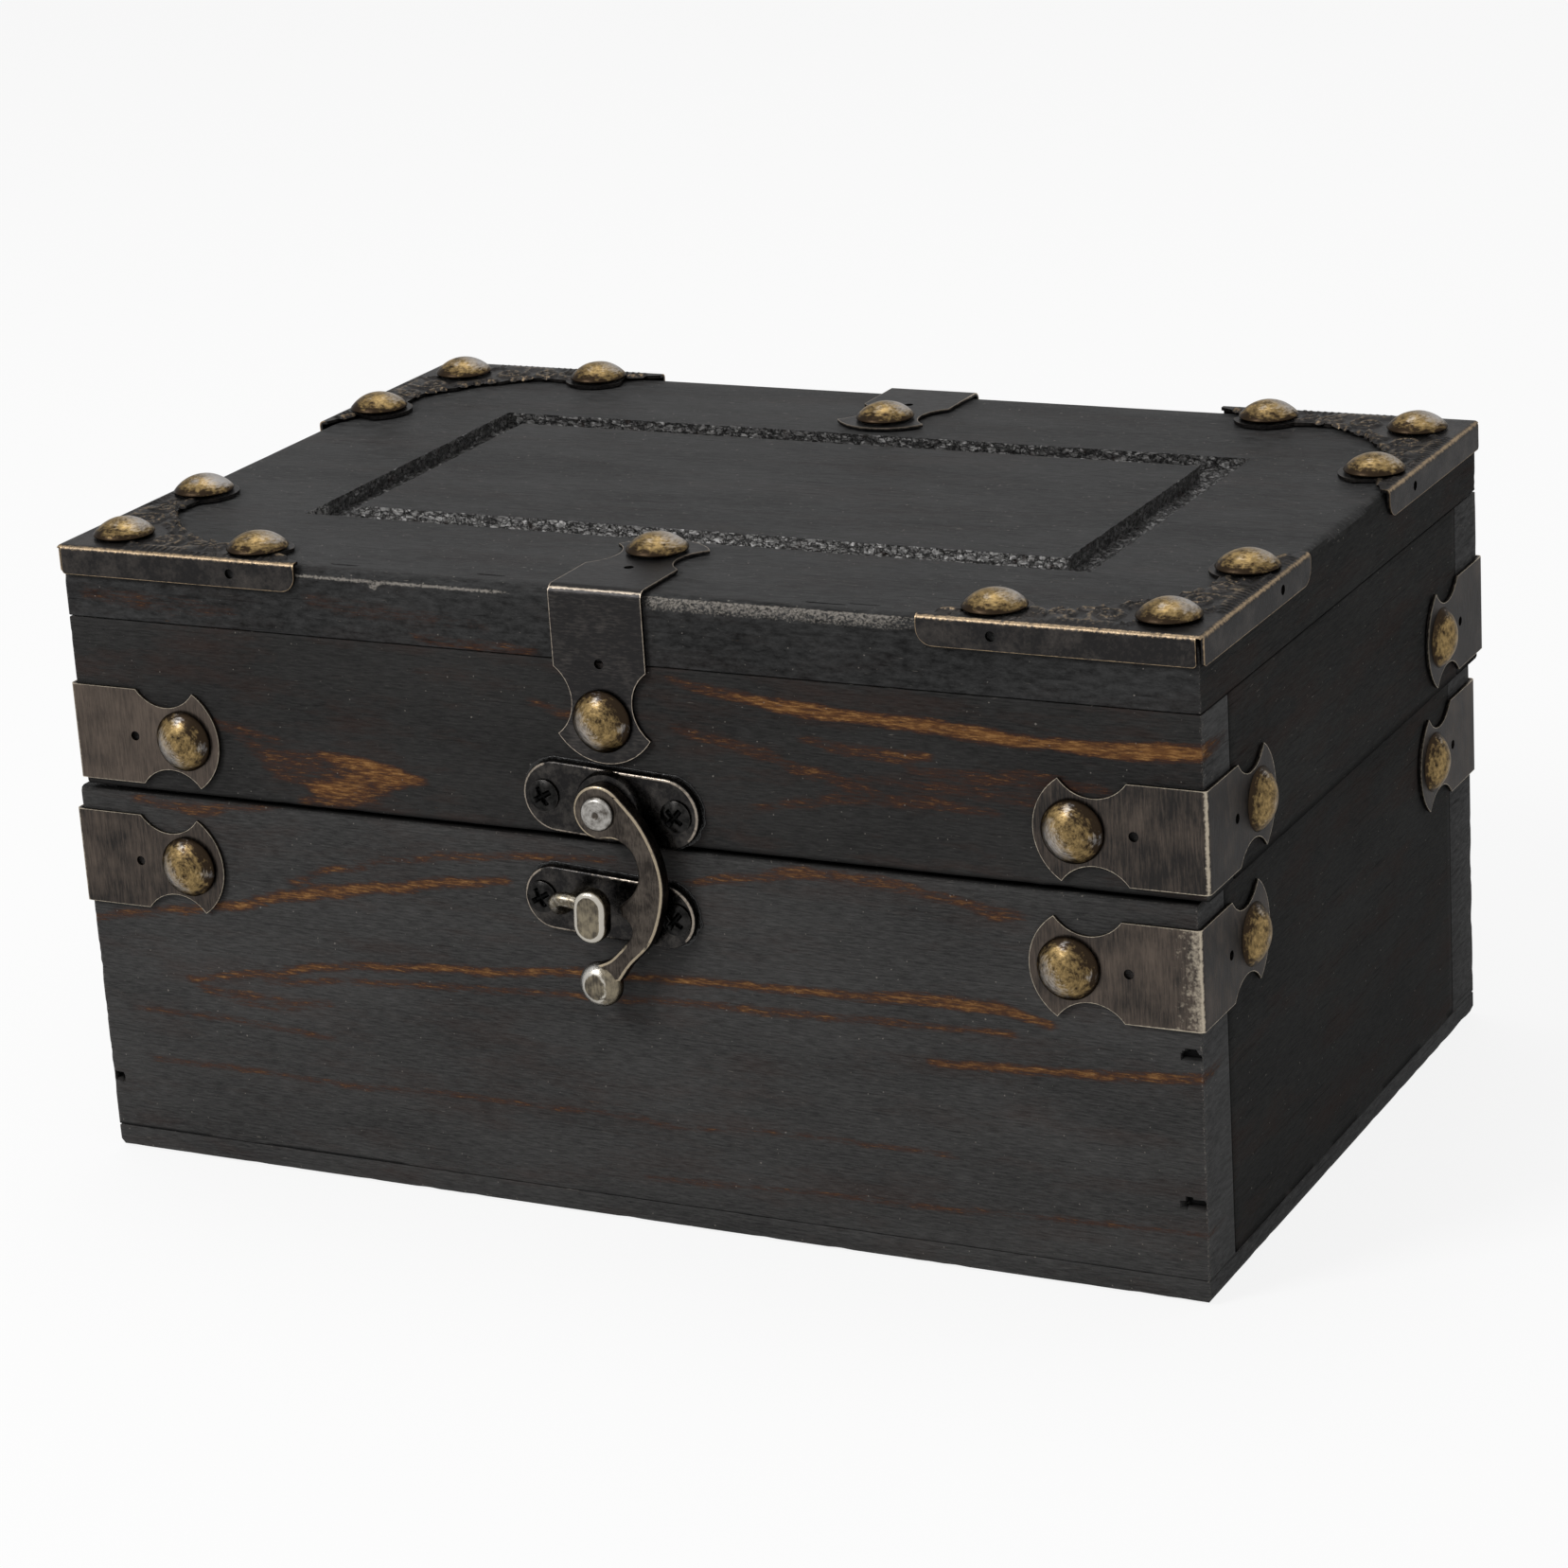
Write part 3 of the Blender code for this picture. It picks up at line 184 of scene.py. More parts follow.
def stained_pine(name, grain, look):
    """Pine under thin black stain, satin, with fine fibre lines along x or y."""
    hairlines, redness, dark, grey, level, fineness = look
    material, tree = new_material(name)
    space = millimetres(tree, 0 if grain == "x" else math.radians(-90))
    # Patterns in the wood: offset, marks per millimetre along and across the grain, detail and
    # roughness. Fibres are 3 mm long and 0.4 to 1 mm apart, with open pores 14 mm long between
    # them. Clouds of stain are 14 mm wide, reddish patches 8 mm, and rubbed hairlines 1.3 mm apart.
    # Flecks of 3 by 0.4 mm and slower changes break up all that is bare, and grit of 0.5 mm the
    # worn edges. Nicks are 3 mm long, and dust in the grain is 0.6 mm across.
    pattern = {}
    for label, offset, along, across, detail, roughness in (
            ("fibres", (0, 0, 0), 0.33, fineness, 6, 0.75),
            ("pores", (9, 4, 2), 0.07, fineness * 1.2, 3, 0.60),
            ("clouds", (0, 0, 0), 0.02, 0.07, 6, 0.65),
            ("flecks", (0, 0, 0), 0.33, 2.5, 5, 0.75),
            ("slow", (5, 2, 9), 0.10, 0.5, 3, 0.60),
            ("reds", (31, 17, 5), 0.03, 0.13, 6, 0.70),
            ("lines", (0, 0, 0), 0.01, 0.75, 5, 0.70),
            ("nicks", (3, 8, 6), 0.35, 2.6, 2, 0.50),
            ("dust", (0, 0, 0), 1.7, 1.7, 0, 0.50),
            ("grit", (0, 0, 0), 1.8, 2.4, 4, 0.75)):
        stretched = node(tree, "Mapping", {0: space, "Location": offset, "Scale": (along, across, across)})
        pattern[label] = node(tree, "TexNoise", {0: stretched, "Scale": 1, "Detail": detail,
                                                 "Roughness": roughness})
    # Where each pattern starts to show and shows in full, and how strongly
    mask = {}
    for label, start, full, most in (("fibres", 0.35, 0.65, 0.70), ("pores", 0.60, 0.70, 0.45),
                                     ("clouds", 0.34, 0.66, 0.30), ("flecks", 0.48, 0.66, 1),
                                     ("reds", 0.50, 0.66, redness), ("lines", 0.60, 0.72, hairlines),
                                     ("nicks", 0.70, 0.80, 0.35), ("dust", 0.80, 0.87, 0.55)):
        mask[label] = node(tree, "MapRange", {0: pattern[label], 1: start, 2: full, 3: 0, 4: most})
    tone = node(tree, "Math", {0: mask["fibres"], 1: mask["clouds"]}, operation="ADD")
    colour = node(tree, "Mix", {0: tone, 6: linear(dark), 7: linear(grey)}, data_type="RGBA").outputs[2]
    streak, edge, shade_and_stain = [node(tree, "Attribute", attribute_name=label).outputs["Fac"]
                          for label in ("rub", "edge", "shade_and_stain")]
    # Bare summerwood in hand-rubbed streaks, red-brown at their fringes, and in faint hairlines
    line_area = node(tree, "MapRange", {0: pattern["reds"], 1: 0.46, 2: 0.60, 3: 0, 4: 1})
    hairs = node(tree, "Math", {0: mask["lines"], 1: line_area}, operation="MULTIPLY")
    share = node(tree, "Math", {0: streak, 1: hairs}, operation="MAXIMUM")
    rubbed = node(tree, "Math", {0: pattern["flecks"], 1: 2.3, 2: share}, operation="MULTIPLY_ADD")
    rubbed = node(tree, "Math", {0: pattern["slow"], 1: 1.3, 2: rubbed}, operation="MULTIPLY_ADD")
    touched = node(tree, "Math", {0: share, 1: 3.0}, operation="MULTIPLY", use_clamp=True)
    fringe = node(tree, "MapRange", {0: rubbed, 1: 1.90, 2: 2.45, 3: 0, 4: 0.85})
    fringe = node(tree, "Math", {0: fringe, 1: touched}, operation="MULTIPLY")
    fringe = node(tree, "Math", {0: fringe, 1: mask["reds"]}, operation="MAXIMUM")
    bare = node(tree, "MapRange", {0: rubbed, 1: 2.34, 2: 3.00, 3: 0, 4: 0.95})
    summerwood = node(tree, "Mix", {0: mask["flecks"], 6: linear("7A522D"), 7: linear("A67C4C")},
                      data_type="RGBA").outputs[2]
    # Edges rubbed to pale fibre, nicks and dust, and black over all: painted shade in the parting of lid
    # and base, in notches and in gouges, and stain in the foot's seam
    worn = node(tree, "Math", {0: pattern["grit"], 1: edge}, operation="MULTIPLY")
    worn = node(tree, "MapRange", {0: worn, 1: 0.50, 2: 0.72, 3: 0, 4: 0.8})
    pale = node(tree, "Math", {0: mask["nicks"], 1: mask["dust"]}, operation="MAXIMUM")
    pale = node(tree, "Math", {0: pale, 1: worn}, operation="MAXIMUM")
    for part, over in ((mask["pores"], linear("0C0B0B")), (fringe, linear("42291F")), (bare, summerwood),
                       (pale, linear("9A948C")), (shade_and_stain, linear("050505"))):
        colour = node(tree, "Mix", {0: part, 6: colour, 7: over}, data_type="RGBA").outputs[2]
    gloss = node(tree, "MapRange", {0: pattern["fibres"], 1: 0.3, 2: 0.7, 3: 0.38, 4: 0.60})
    height = node(tree, "Math", {0: pattern["flecks"], 1: 0.5, 2: pattern["fibres"]},
                  operation="MULTIPLY_ADD")
    surface(tree, height, 0.6, 0.0002, {"Base Color": colour, "Roughness": gloss,
                                        "Specular IOR Level": level})
    return material


# Rubbed streaks on the two front boards, each a line of (x, height, half-width) in millimetres
# after its strength
LID_STREAKS = (
    (0.50, (14, 103.0, 0.1), (22, 101.6, 0.6), (30, 100.6, 0.6), (40, 99.9, 0.2)),
    (1.00, (27, 101.0, 0.1), (36, 99.9, 0.7), (42, 99.6, 0.9), (50, 99.2, 0.5), (60, 98.9, 0.7),
     (72, 98.2, 0.9), (84, 97.4, 0.4)),
    (1.00, (80, 98.0, 0.1), (88, 97.6, 0.6), (98, 97.6, 1.1), (107, 98.0, 1.0), (112, 98.4, 0.8)),
    (0.45, (14, 94.4, 0.3), (21, 92.9, 0.6), (31, 91.2, 0.8), (41, 88.4, 0.9), (54, 86.0, 0.4)),
    (0.52, (40, 94.2, 0.1), (48, 93.2, 0.6), (56, 92.8, 0.8), (64, 93.4, 0.2)),
    (0.40, (30, 81.5, 0.2), (38, 82.8, 0.5), (48, 85.0, 0.9), (62, 85.3, 0.9), (76, 84.4, 0.2)),
    (0.40, (58, 91.0, 0.3), (66, 90.2, 0.8), (80, 91.2, 1.1), (96, 90.4, 0.3)),
    (0.35, (50, 88.4, 0.2), (64, 88.2, 0.9), (78, 87.4, 0.9), (88, 86.4, 0.2)),
    (0.45, (-84, 88.0, 0.3), (-74, 86.2, 0.5), (-66, 84.8, 0.3)),
    (0.42, (-74, 84.0, 0.4), (-66, 80.2, 2.6), (-58, 79.6, 3.4), (-50, 79.6, 2.8), (-42, 79.7, 1.2)),
    (0.80, (-60, 76.0, 0.3), (-55, 76.2, 1.8), (-50, 77.6, 2.6), (-44, 79.0, 1.6), (-37, 80.0, 0.2)),
    (0.60, (-62, 73.4, 0.6), (-54, 73.8, 0.9), (-47, 75.8, 0.8), (-41, 78.4, 0.3)),
    (0.95, (-58, 82.6, 0.2), (-52, 82.0, 0.9), (-44, 80.6, 1.2), (-36, 79.9, 0.2)),
    (0.50, (-14, 96.8, 0.1), (-6, 95.0, 0.4), (3, 93.5, 0.2)),
)
BASE_STREAKS = (
    (0.55, (-111, 46.2, 0.3), (-100, 48.2, 0.4), (-88, 50.2, 0.3)),
    (0.85, (-92, 49.4, 0.1), (-80, 51.6, 0.4), (-66, 55.0, 0.5), (-58, 56.8, 0.8), (-47, 58.6, 0.6),
     (-31, 61.3, 0.4), (-19, 62.8, 0.2)),
    (0.55, (-67, 57.6, 0.1), (-55, 61.4, 0.2), (-43, 64.4, 0.2), (-31, 66.2, 0.3), (-15, 67.8, 0.2),
     (2, 68.8, 0.1)),
    (0.80, (-91, 36.2, 0.1), (-74, 38.8, 0.2), (-61, 41.7, 0.2), (-52, 43.0, 0.2), (-29, 44.7, 0.3),
     (-6, 46.9, 0.2), (28, 48.2, 0.2), (46, 48.7, 0.3), (60, 49.6, 0.6), (72, 49.8, 0.7),
     (84, 47.6, 0.2)),
    (0.55, (-75, 37.2, 0.1), (-52, 40.0, 0.15), (-29, 41.2, 0.2), (-7, 42.4, 0.2), (18, 43.7, 0.3),
     (37, 44.0, 0.3), (52, 44.6, 0.2), (76, 45.2, 0.1)),
    (0.80, (60, 38.2, 0.1), (74, 38.8, 0.3), (89, 39.7, 0.3), (111, 41.2, 0.4)),
    (0.62, (14, 66.0, 0.1), (26, 68.0, 0.4), (37, 70.2, 0.6), (53, 70.0, 0.7), (64, 68.6, 0.4),
     (74, 66.6, 0.8), (80, 66.9, 0.2)),
    (0.45, (-101, 19.1, 0.1), (-82, 19.4, 0.15), (-61, 19.0, 0.15), (-31, 19.9, 0.15), (4, 20.4, 0.1)),
    (0.40, (2, 9.1, 0.1), (44, 10.8, 0.2), (110, 13.0, 0.1)),
    (0.52, (-98, 70.6, 0.2), (-84, 69.8, 0.8), (-76, 71.2, 0.5), (-66, 72.2, 0.2)),
    (0.42, (-104, 29.0, 0.1), (-85, 29.1, 0.2), (-60, 28.0, 0.1)),
    (0.35, (6, 19.6, 0.1), (35, 21.3, 0.2), (64, 21.4, 0.1)),
    (0.45, (-90, 35.0, 0.3), (-80, 33.6, 1.0), (-70, 33.2, 0.9), (-60, 34.6, 0.3)),
)
# Notches where brads hold the base's front board, in millimetres: x, height and half-length of
# each, and the half-height of all
BASE_NOTCHES = ((108.2, 45.3, 1.6), (107.8, 18.4, 1.4), (-108.6, 14.4, 1.0))
NOTCH_HALF_HEIGHT = 0.75
NOTCH_DEPTH = 0.0012
# How far behind the front face streaks and notches still show
FACE_SKIN = 0.0008


def streak_share(streaks, x, z):
    """How bare the wood is at a point of the front face, from 0 to 1."""
    best = 0
    for strength, *line in streaks:
        for (x0, z0, w0), (x1, z1, w1) in zip(line, line[1:]):
            if x0 <= x <= x1:
                t = (x - x0) / (x1 - x0)
                smooth = t * t * (3 - 2 * t)
                off = abs(z - z0 - (z1 - z0) * smooth) - (w0 + (w1 - w0) * t)
                best = max(best, strength * min(1, max(0, 1 - off / 1.1)))
    return best


def slice_along(bm, axis, cuts):
    """Cuts every long edge that runs along an axis into equal lengths."""
    runs = {e: abs(e.verts[1].co[axis] - e.verts[0].co[axis]) for e in bm.edges}
    longest = max(runs.values())
    chosen = [e for e, run in runs.items() if run > longest * 0.8]
    bmesh.ops.subdivide_edges(bm, edges=chosen, cuts=cuts, use_grid_fill=True)


def cross_cut(bm, axis, places):
    """Cuts a board or a blank straight across at each place along an axis."""
    across = Vector([1 if a == axis else 0 for a in range(3)])
    for place in places:
        bmesh.ops.bisect_plane(bm, geom=bm.verts[:] + bm.edges[:] + bm.faces[:], dist=1e-6,
                               plane_co=across * place, plane_no=across)


def block(bm, low, high):
    """Adds a plain block between two corners."""
    low, high = Vector(low), Vector(high)
    made = bmesh.ops.create_cube(bm, size=1)["verts"]
    bmesh.ops.scale(bm, vec=high - low, verts=made)
    bmesh.ops.translate(bm, vec=(high + low) / 2, verts=made)


def soften(bm, edges, offset, segments):
    """Rounds edges over."""
    bmesh.ops.bevel(bm, geom=edges, offset=offset, segments=segments, affect="EDGES", profile=0.5,
                    material=-1)


def plank(low, high, tight, rounding=ROUNDING):
    """A board with its outer edges rounded; the edges at a glued seam stay nearly sharp."""
    bm = bmesh.new()
    block(bm, low, high)
    seams = [e for e in bm.edges if any(all(abs(v.co[a] - p) < 1e-6 for v in e.verts) for a, p in tight)]
    loose = [e for e in bm.edges if e not in seams]
    for edges, offset in ((seams, SEAM_ROUNDING), (loose, rounding)):
        edges = [e for e in edges if e.is_valid]
        if edges:
            soften(bm, edges, offset, 2)
    return bm


def mark(bm, name):
    """A value at every vertex, which the materials read."""
    layers = bm.verts.layers.float
    return layers.get(name) or layers.new(name)


def weather(bm, low, high, dents, tight):
    """Marks the worn edges, except at glued seams, and dents them a little, always inwards."""
    edge = mark(bm, "edge")
    bm.normal_update()
    for v in bm.verts:
        # The second smallest distance to a face is the distance to the nearest edge
        gaps = [min(v.co[a] - low[a], high[a] - v.co[a]) for a in range(3)]
        for a, level in tight:
            if abs(v.co[a] - level) < (high[a] - low[a]) / 2:
                gaps[a] = 1
        gaps.sort()
        v[edge] = max(v[edge], min(1, max(0, 1.15 - gaps[1] / EDGE_WEAR_REACH)))
        # Dents 4 mm apart, with finer ones 1.4 mm apart in them
        bite = noise.noise(v.co * 260) + 0.5 * noise.noise(v.co * 700)
        v.co -= v.normal * dents * v[edge] * max(0, bite - 0.1)


def stain_and_shade_in_seams(point):
    """Painted shade along the parting of lid and base, and stain in open parts of the foot's seam."""
    left_front = point.x < -0.048 and point.y < 0.001 - HALF_DEPTH
    foot_open = left_front or abs(point.y) < HALF_DEPTH - WALL
    if point.z < BOTTOM_TOP + 0.0005 and foot_open and noise.noise(point * 90) > -0.15:
        return 1
    # The parting's painted shade is full for the first 0.4 mm over the lid's rim and 0.1 mm under the
    # base's, and gone at 1 mm over the one and 0.5 mm under the other
    above = point.z - LID_RIM
    return min(1, max(0, 1.5 - above / 0.0007 if above > -0.0002 else 1.3 + (above + 0.0005) / 0.0004))


def add_piece(name, bm, materials, body, replaced=(), sharp=35):
    """Makes a bmesh an object of the scene that rides on its CAD body."""
    mesh = bpy.data.meshes.new(name)
    bm.to_mesh(mesh)
    bm.free()
    for material in materials:
        mesh.materials.append(material)
    mesh.shade_smooth()
    mesh.set_sharp_from_angle(angle=math.radians(sharp))
    piece = bpy.data.objects.new(name, mesh)
    scene.collection.objects.link(piece)
    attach(piece, body)
    if replaced:
        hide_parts(*replaced)


# Share of hairlines and of reddish patches, dark and grey stain, how much the surface shines, and
# fibres per millimetre
FRONT_PINE = stained_pine("black stained pine, front boards", "x",
                          (0.40, 0.20, "202020", "535251", 0.08, 2.8))
LID_PINE = stained_pine("black stained pine, lid boards", "x",
                        (0.40, 0.28, "151515", "3E3D3C", 0.07, 2.8))
SIDE_PINE = stained_pine("black stained pine, side boards", "y",
                         (0.12, 0.22, "232323", "40403F", 0.003, 1.8))
BACK_PINE = stained_pine("black stained pine, back boards", "x",
                         (0.30, 0.25, "232323", "474645", 0.05, 2.6))
END_PINE = stained_pine("black stained pine, end grain", "y",
                        (0.0, 0.0, "323232", "636363", 0.004, 1.3))


def show_end_grain(bm):
    """Gives a board's two sawn ends the second of its materials."""
    for f in bm.faces:
        f.material_index = 1 if abs(f.normal.x) > 0.7 else 0


inner = HALF_DEPTH - WALL
side = inner - SIDE_GAP
for body, x, low_z, high_z, glued_z, front_pine, streaks, notches in (
        ("base", 0, BASE_FOOT, BASE_RIM, BASE_FOOT, FRONT_PINE, BASE_STREAKS, BASE_NOTCHES),
        ("lid", LID_X, LID_RIM, LID_HEAD, LID_HEAD, LID_PINE, LID_STREAKS, ())):
    left, right = x - HALF_WIDTH, x + HALF_WIDTH
    for name, x0, x1, y0, y1, reach, pines, step in (
            ("front", left, right, -HALF_DEPTH, -inner, inner, [front_pine, END_PINE], FRONT_STEP),
            ("back", left, right, inner, HALF_DEPTH, inner, [BACK_PINE, END_PINE], PLAIN_STEP),
            ("left", left, left + WALL, -side, side, side, [SIDE_PINE], PLAIN_STEP),
            ("right", right - WALL, right, -side, side, side, [SIDE_PINE], PLAIN_STEP)):
        low, high = Vector((x0, y0, low_z)), Vector((x1, y1, high_z))
        tight = [(2, glued_z), (1, -reach), (1, reach)]
        shows_end_grain = END_PINE in pines
        bm = plank(low, high, tight)
        slice_along(bm, *((0, LENGTH_CUTS) if shows_end_grain else (1, DEPTH_CUTS)))
        slice_along(bm, 2, round((high_z - low_z) / step))
        if name == "front":
            cross_cut(bm, 0, [(notch_x + sign * half * part) / 1000 for notch_x, notch_z, half in notches
                              for sign in (-1, 1) for part in (0.3, 0.8, 1, 1.2)])
        weather(bm, low, high, 0.0003 if shows_end_grain else 0.0002, tight)
        rub, shade_and_stain = mark(bm, "rub"), mark(bm, "shade_and_stain")
        for v in bm.verts:
            # Painted shade along the parting of lid and base, and stain in the foot's seam
            v[shade_and_stain] = stain_and_shade_in_seams(v.co)
            if v.co.y > FACE_SKIN - HALF_DEPTH:
                continue
            px, pz = v.co.x * 1000, v.co.z * 1000
            v[rub] = streak_share(streaks, px, pz)
            # Each notch is sunk and painted black, as painted shade in its recess
            for notch_x, notch_z, half in notches:
                ragged = 1 + 0.5 * noise.noise(v.co * 900)
                tall = NOTCH_HALF_HEIGHT * ragged
                if abs(px - notch_x) < half * 1.1 * ragged and abs(pz - notch_z) < tall:
                    v[shade_and_stain] = 1
                    v.co.y += NOTCH_DEPTH
        if shows_end_grain:
            show_end_grain(bm)
        add_piece(f"{body}_{name}_pine", bm, pines, body, [f"{body}_{name}_board"])

# Bottom board
# A thin full-size board glued under the walls. Its seam shows as a hairline round the foot.
BOTTOM_ROUNDING = 0.0016
BOTTOM_DEPTH_CUTS = 56
low, high = Vector((-HALF_WIDTH, -HALF_DEPTH, 0)), Vector((HALF_WIDTH, HALF_DEPTH, BOTTOM_TOP))
bm = plank(low, high, [(2, BOTTOM_TOP)], BOTTOM_ROUNDING)
slice_along(bm, 0, LENGTH_CUTS)
slice_along(bm, 1, BOTTOM_DEPTH_CUTS)
weather(bm, low, high, 0.0003, [(2, BOTTOM_TOP)])
show_end_grain(bm)
add_piece("base_bottom_pine", bm, [FRONT_PINE, END_PINE], "base", ["base_bottom_board"])

# Top board
# A thick board with round-worn edges and a rectangular groove. The router tore the fibres, and
# the stain pooled on them in a rough glossy black crust.
TOP_ROUNDING = 0.0022
TOP_FOOT_ROUNDING = 0.00012
TOP_LENGTH_CUTS = 110
TOP_DEPTH_CUTS = 28
TOP_STEP = 0.0009
GROOVE_OUTER = (0.078, 0.038)
GROOVE_INNER = (0.0708, 0.0308)
GROOVE_DEPTH = 0.0028
GROOVE_CUTS = 7
RAGGED_RIM = 0.00035
CRUST_SPREAD = 0.0003
CRUST_RISE = 0.0008
GOUGE_DEPTH = 0.0004
# In millimetres: a chip in the front edge at x and height, gouges at x, y and half-length, and
# rubbed streaks
CHIP = (-43, 115.6)
GOUGES = ((-50.0, -66.3, 2.2), (-22.0, -65.4, 1.6), (44.0, -66.2, 2.4), (50.5, -65.2, 1.8))
GOUGE_HALF_WIDTH = 0.3
TOP_STREAKS = (
    (0.28, (-106, 110.0, 0.6), (-96, 109.0, 1.4), (-84, 108.6, 1.2), (-72, 108.0, 0.4)),
    (0.26, (-58, 111.8, 0.5), (-46, 110.4, 1.3), (-34, 110.2, 1.0), (-20, 109.4, 0.4)),
    (0.38, (-36, 106.4, 0.3), (-22, 105.8, 0.6), (-10, 105.6, 0.6)),
)
TOP_PINE = stained_pine("black stained pine, top board", "x",
                        (0.15, 0.06, "191919", "484848", 0.02, 0.9))
crust, tree = new_material("stain crust in torn pine groove")
space = millimetres(tree)
# Ragged flakes 2 mm long with black cracks between them, grained at 0.4 mm. Each flake gets its own
# painted highlight, as if tilted to the light its own way.
ragged = node(tree, "TexNoise", {0: space, "Scale": 0.8, "Detail": 5, "Roughness": 0.7})
flake_space = node(tree, "Mapping", {0: space, "Scale": (0.45, 0.62, 0.9)})
flake_space = node(tree, "VectorMath", {0: ragged.outputs["Color"], 1: (2.2, 2.2, 2.2), 2: flake_space},
                   operation="MULTIPLY_ADD")
cracks = node(tree, "TexVoronoi", {0: flake_space, "Scale": 1}, feature="DISTANCE_TO_EDGE")
tilts = node(tree, "TexVoronoi", {0: flake_space, "Scale": 1})
grain_space = node(tree, "Mapping", {0: space, "Scale": (0.8, 2.6, 2.6)})
grain = node(tree, "TexNoise", {0: grain_space, "Scale": 1, "Detail": 4, "Roughness": 0.7})
torn = node(tree, "MapRange", {0: cracks, 1: 0.01, 2: 0.14, 3: 0, 4: 1})
for pattern, start, full, least in ((tilts.outputs["Color"], 0.25, 0.60, 0.45), (grain, 0.38, 0.54, 0.30)):
    share = node(tree, "MapRange", {0: pattern, 1: start, 2: full, 3: least, 4: 1})
    torn = node(tree, "Math", {0: torn, 1: share}, operation="MULTIPLY")
flake_highlight_share = node(tree, "Attribute", attribute_name="flake_highlight")
painted_flake_highlights = node(tree, "Math", {0: torn, 1: flake_highlight_share.outputs["Fac"]}, operation="MULTIPLY")
# The stain lies thin and brown in places 3 mm across
thin = node(tree, "TexNoise", {0: space, "Scale": 0.35, "Detail": 3, "Roughness": 0.6})
thin = node(tree, "MapRange", {0: thin, 1: 0.60, 2: 0.70, 3: 0, 4: 0.5})
# Near-white painted highlights on the flakes over black crust, and brown where the stain is thin
colour = linear("060606")
for part, over in ((painted_flake_highlights, linear("E6E4E2")), (thin, linear("3A2319"))):
    colour = node(tree, "Mix", {0: part, 6: colour, 7: over}, data_type="RGBA").outputs[2]
surface(tree, torn, 1.0, 0.0006, {"Base Color": colour, "Roughness": 0.28, "Specular IOR Level": 0.25})

low = Vector((LID_X - HALF_WIDTH, -HALF_DEPTH, TOP_BOARD_FOOT))
high = Vector((LID_X + HALF_WIDTH, HALF_DEPTH, LID_TOP))
bm = bmesh.new()
block(bm, low, high)
soften(bm, [e for e in bm.edges if all(v.co.z < LID_TOP - 0.001 for v in e.verts)], TOP_FOOT_ROUNDING, 1)
soften(bm, [e for e in bm.edges if all(v.co.z > LID_TOP - 0.001 for v in e.verts)], TOP_ROUNDING, 5)
slice_along(bm, 0, TOP_LENGTH_CUTS)
slice_along(bm, 1, TOP_DEPTH_CUTS)
cross_cut(bm, 2, [TOP_BOARD_FOOT + 0.0008 + TOP_STEP * i for i in range(11)])
cross_cut(bm, 1, [(gouge[1] + sign * GOUGE_HALF_WIDTH) / 1000 for gouge in GOUGES for sign in (-1, 0, 1)])
for sign in (-1, 1):
    for reach_x, reach_y in (GROOVE_OUTER, GROOVE_INNER):
        cross_cut(bm, 0, [LID_X + sign * reach_x])
        cross_cut(bm, 1, [sign * reach_y])


def in_groove(point):
    """Whether a point of the top lies in the rectangular groove."""
    x, y = abs(point.x - LID_X), abs(point.y)
    within = x < GROOVE_OUTER[0] and y < GROOVE_OUTER[1]
    return within and not (x < GROOVE_INNER[0] and y < GROOVE_INNER[1])


def extrude(bm, faces, height):
    """Extrudes faces along z, and gives the vertices that it moved."""
    made = bmesh.ops.extrude_face_region(bm, geom=faces)["geom"]
    moved = [v for v in made if isinstance(v, bmesh.types.BMVert)]
    bmesh.ops.translate(bm, vec=(0, 0, height), verts=moved)
    return moved


floor_faces = [f for f in bm.faces if f.normal.z > 0.99 and in_groove(f.calc_center_median())]
deep = extrude(bm, floor_faces, -GROOVE_DEPTH)
bmesh.ops.delete(bm, geom=floor_faces, context="FACES")
sunk_faces = {f for v in deep for f in v.link_faces}
for f in sunk_faces:
    f.material_index = 1
sunk_edges = list({e for f in sunk_faces for e in f.edges})
bmesh.ops.subdivide_edges(bm, edges=sunk_edges, cuts=GROOVE_CUTS, use_grid_fill=True)
weather(bm, low, high, 0.0005, [(2, TOP_BOARD_FOOT)])
edge, flake_highlight, rub, shade_and_stain = [mark(bm, name) for name in ("edge", "flake_highlight", "rub", "shade_and_stain")]
# Where the front edge's round starts, in millimetres
ROUND_Y = (TOP_ROUNDING - HALF_DEPTH) * 1000
ROUND_Z = (LID_TOP - TOP_ROUNDING) * 1000


def scuffs_and_painted_highlight(x, y, z):
    """How pale the front edge is, most of all right of the centre strap: scuffs, and a painted highlight
    along its round.
    """
    turned = math.degrees(math.atan2(z - ROUND_Z, ROUND_Y - y)) if z > ROUND_Z else (z - ROUND_Z) * 20
    band = min(1, max(0, (turned + 26) / 20), max(0, (80 - turned) / 25))
    right_part = min(1, max(0, (x - 9) / 2), max(0, (86 - x) / 30))
    left_part = min(1, max(0, (-12 - x) / 6), max(0, (x + 74) / 12))
    thin_line = max(0, 1.2 - abs(turned - 18) / 22)
    return max((1.06 + 0.4 * turned / 90) * right_part * band, 1.25 * left_part * thin_line)


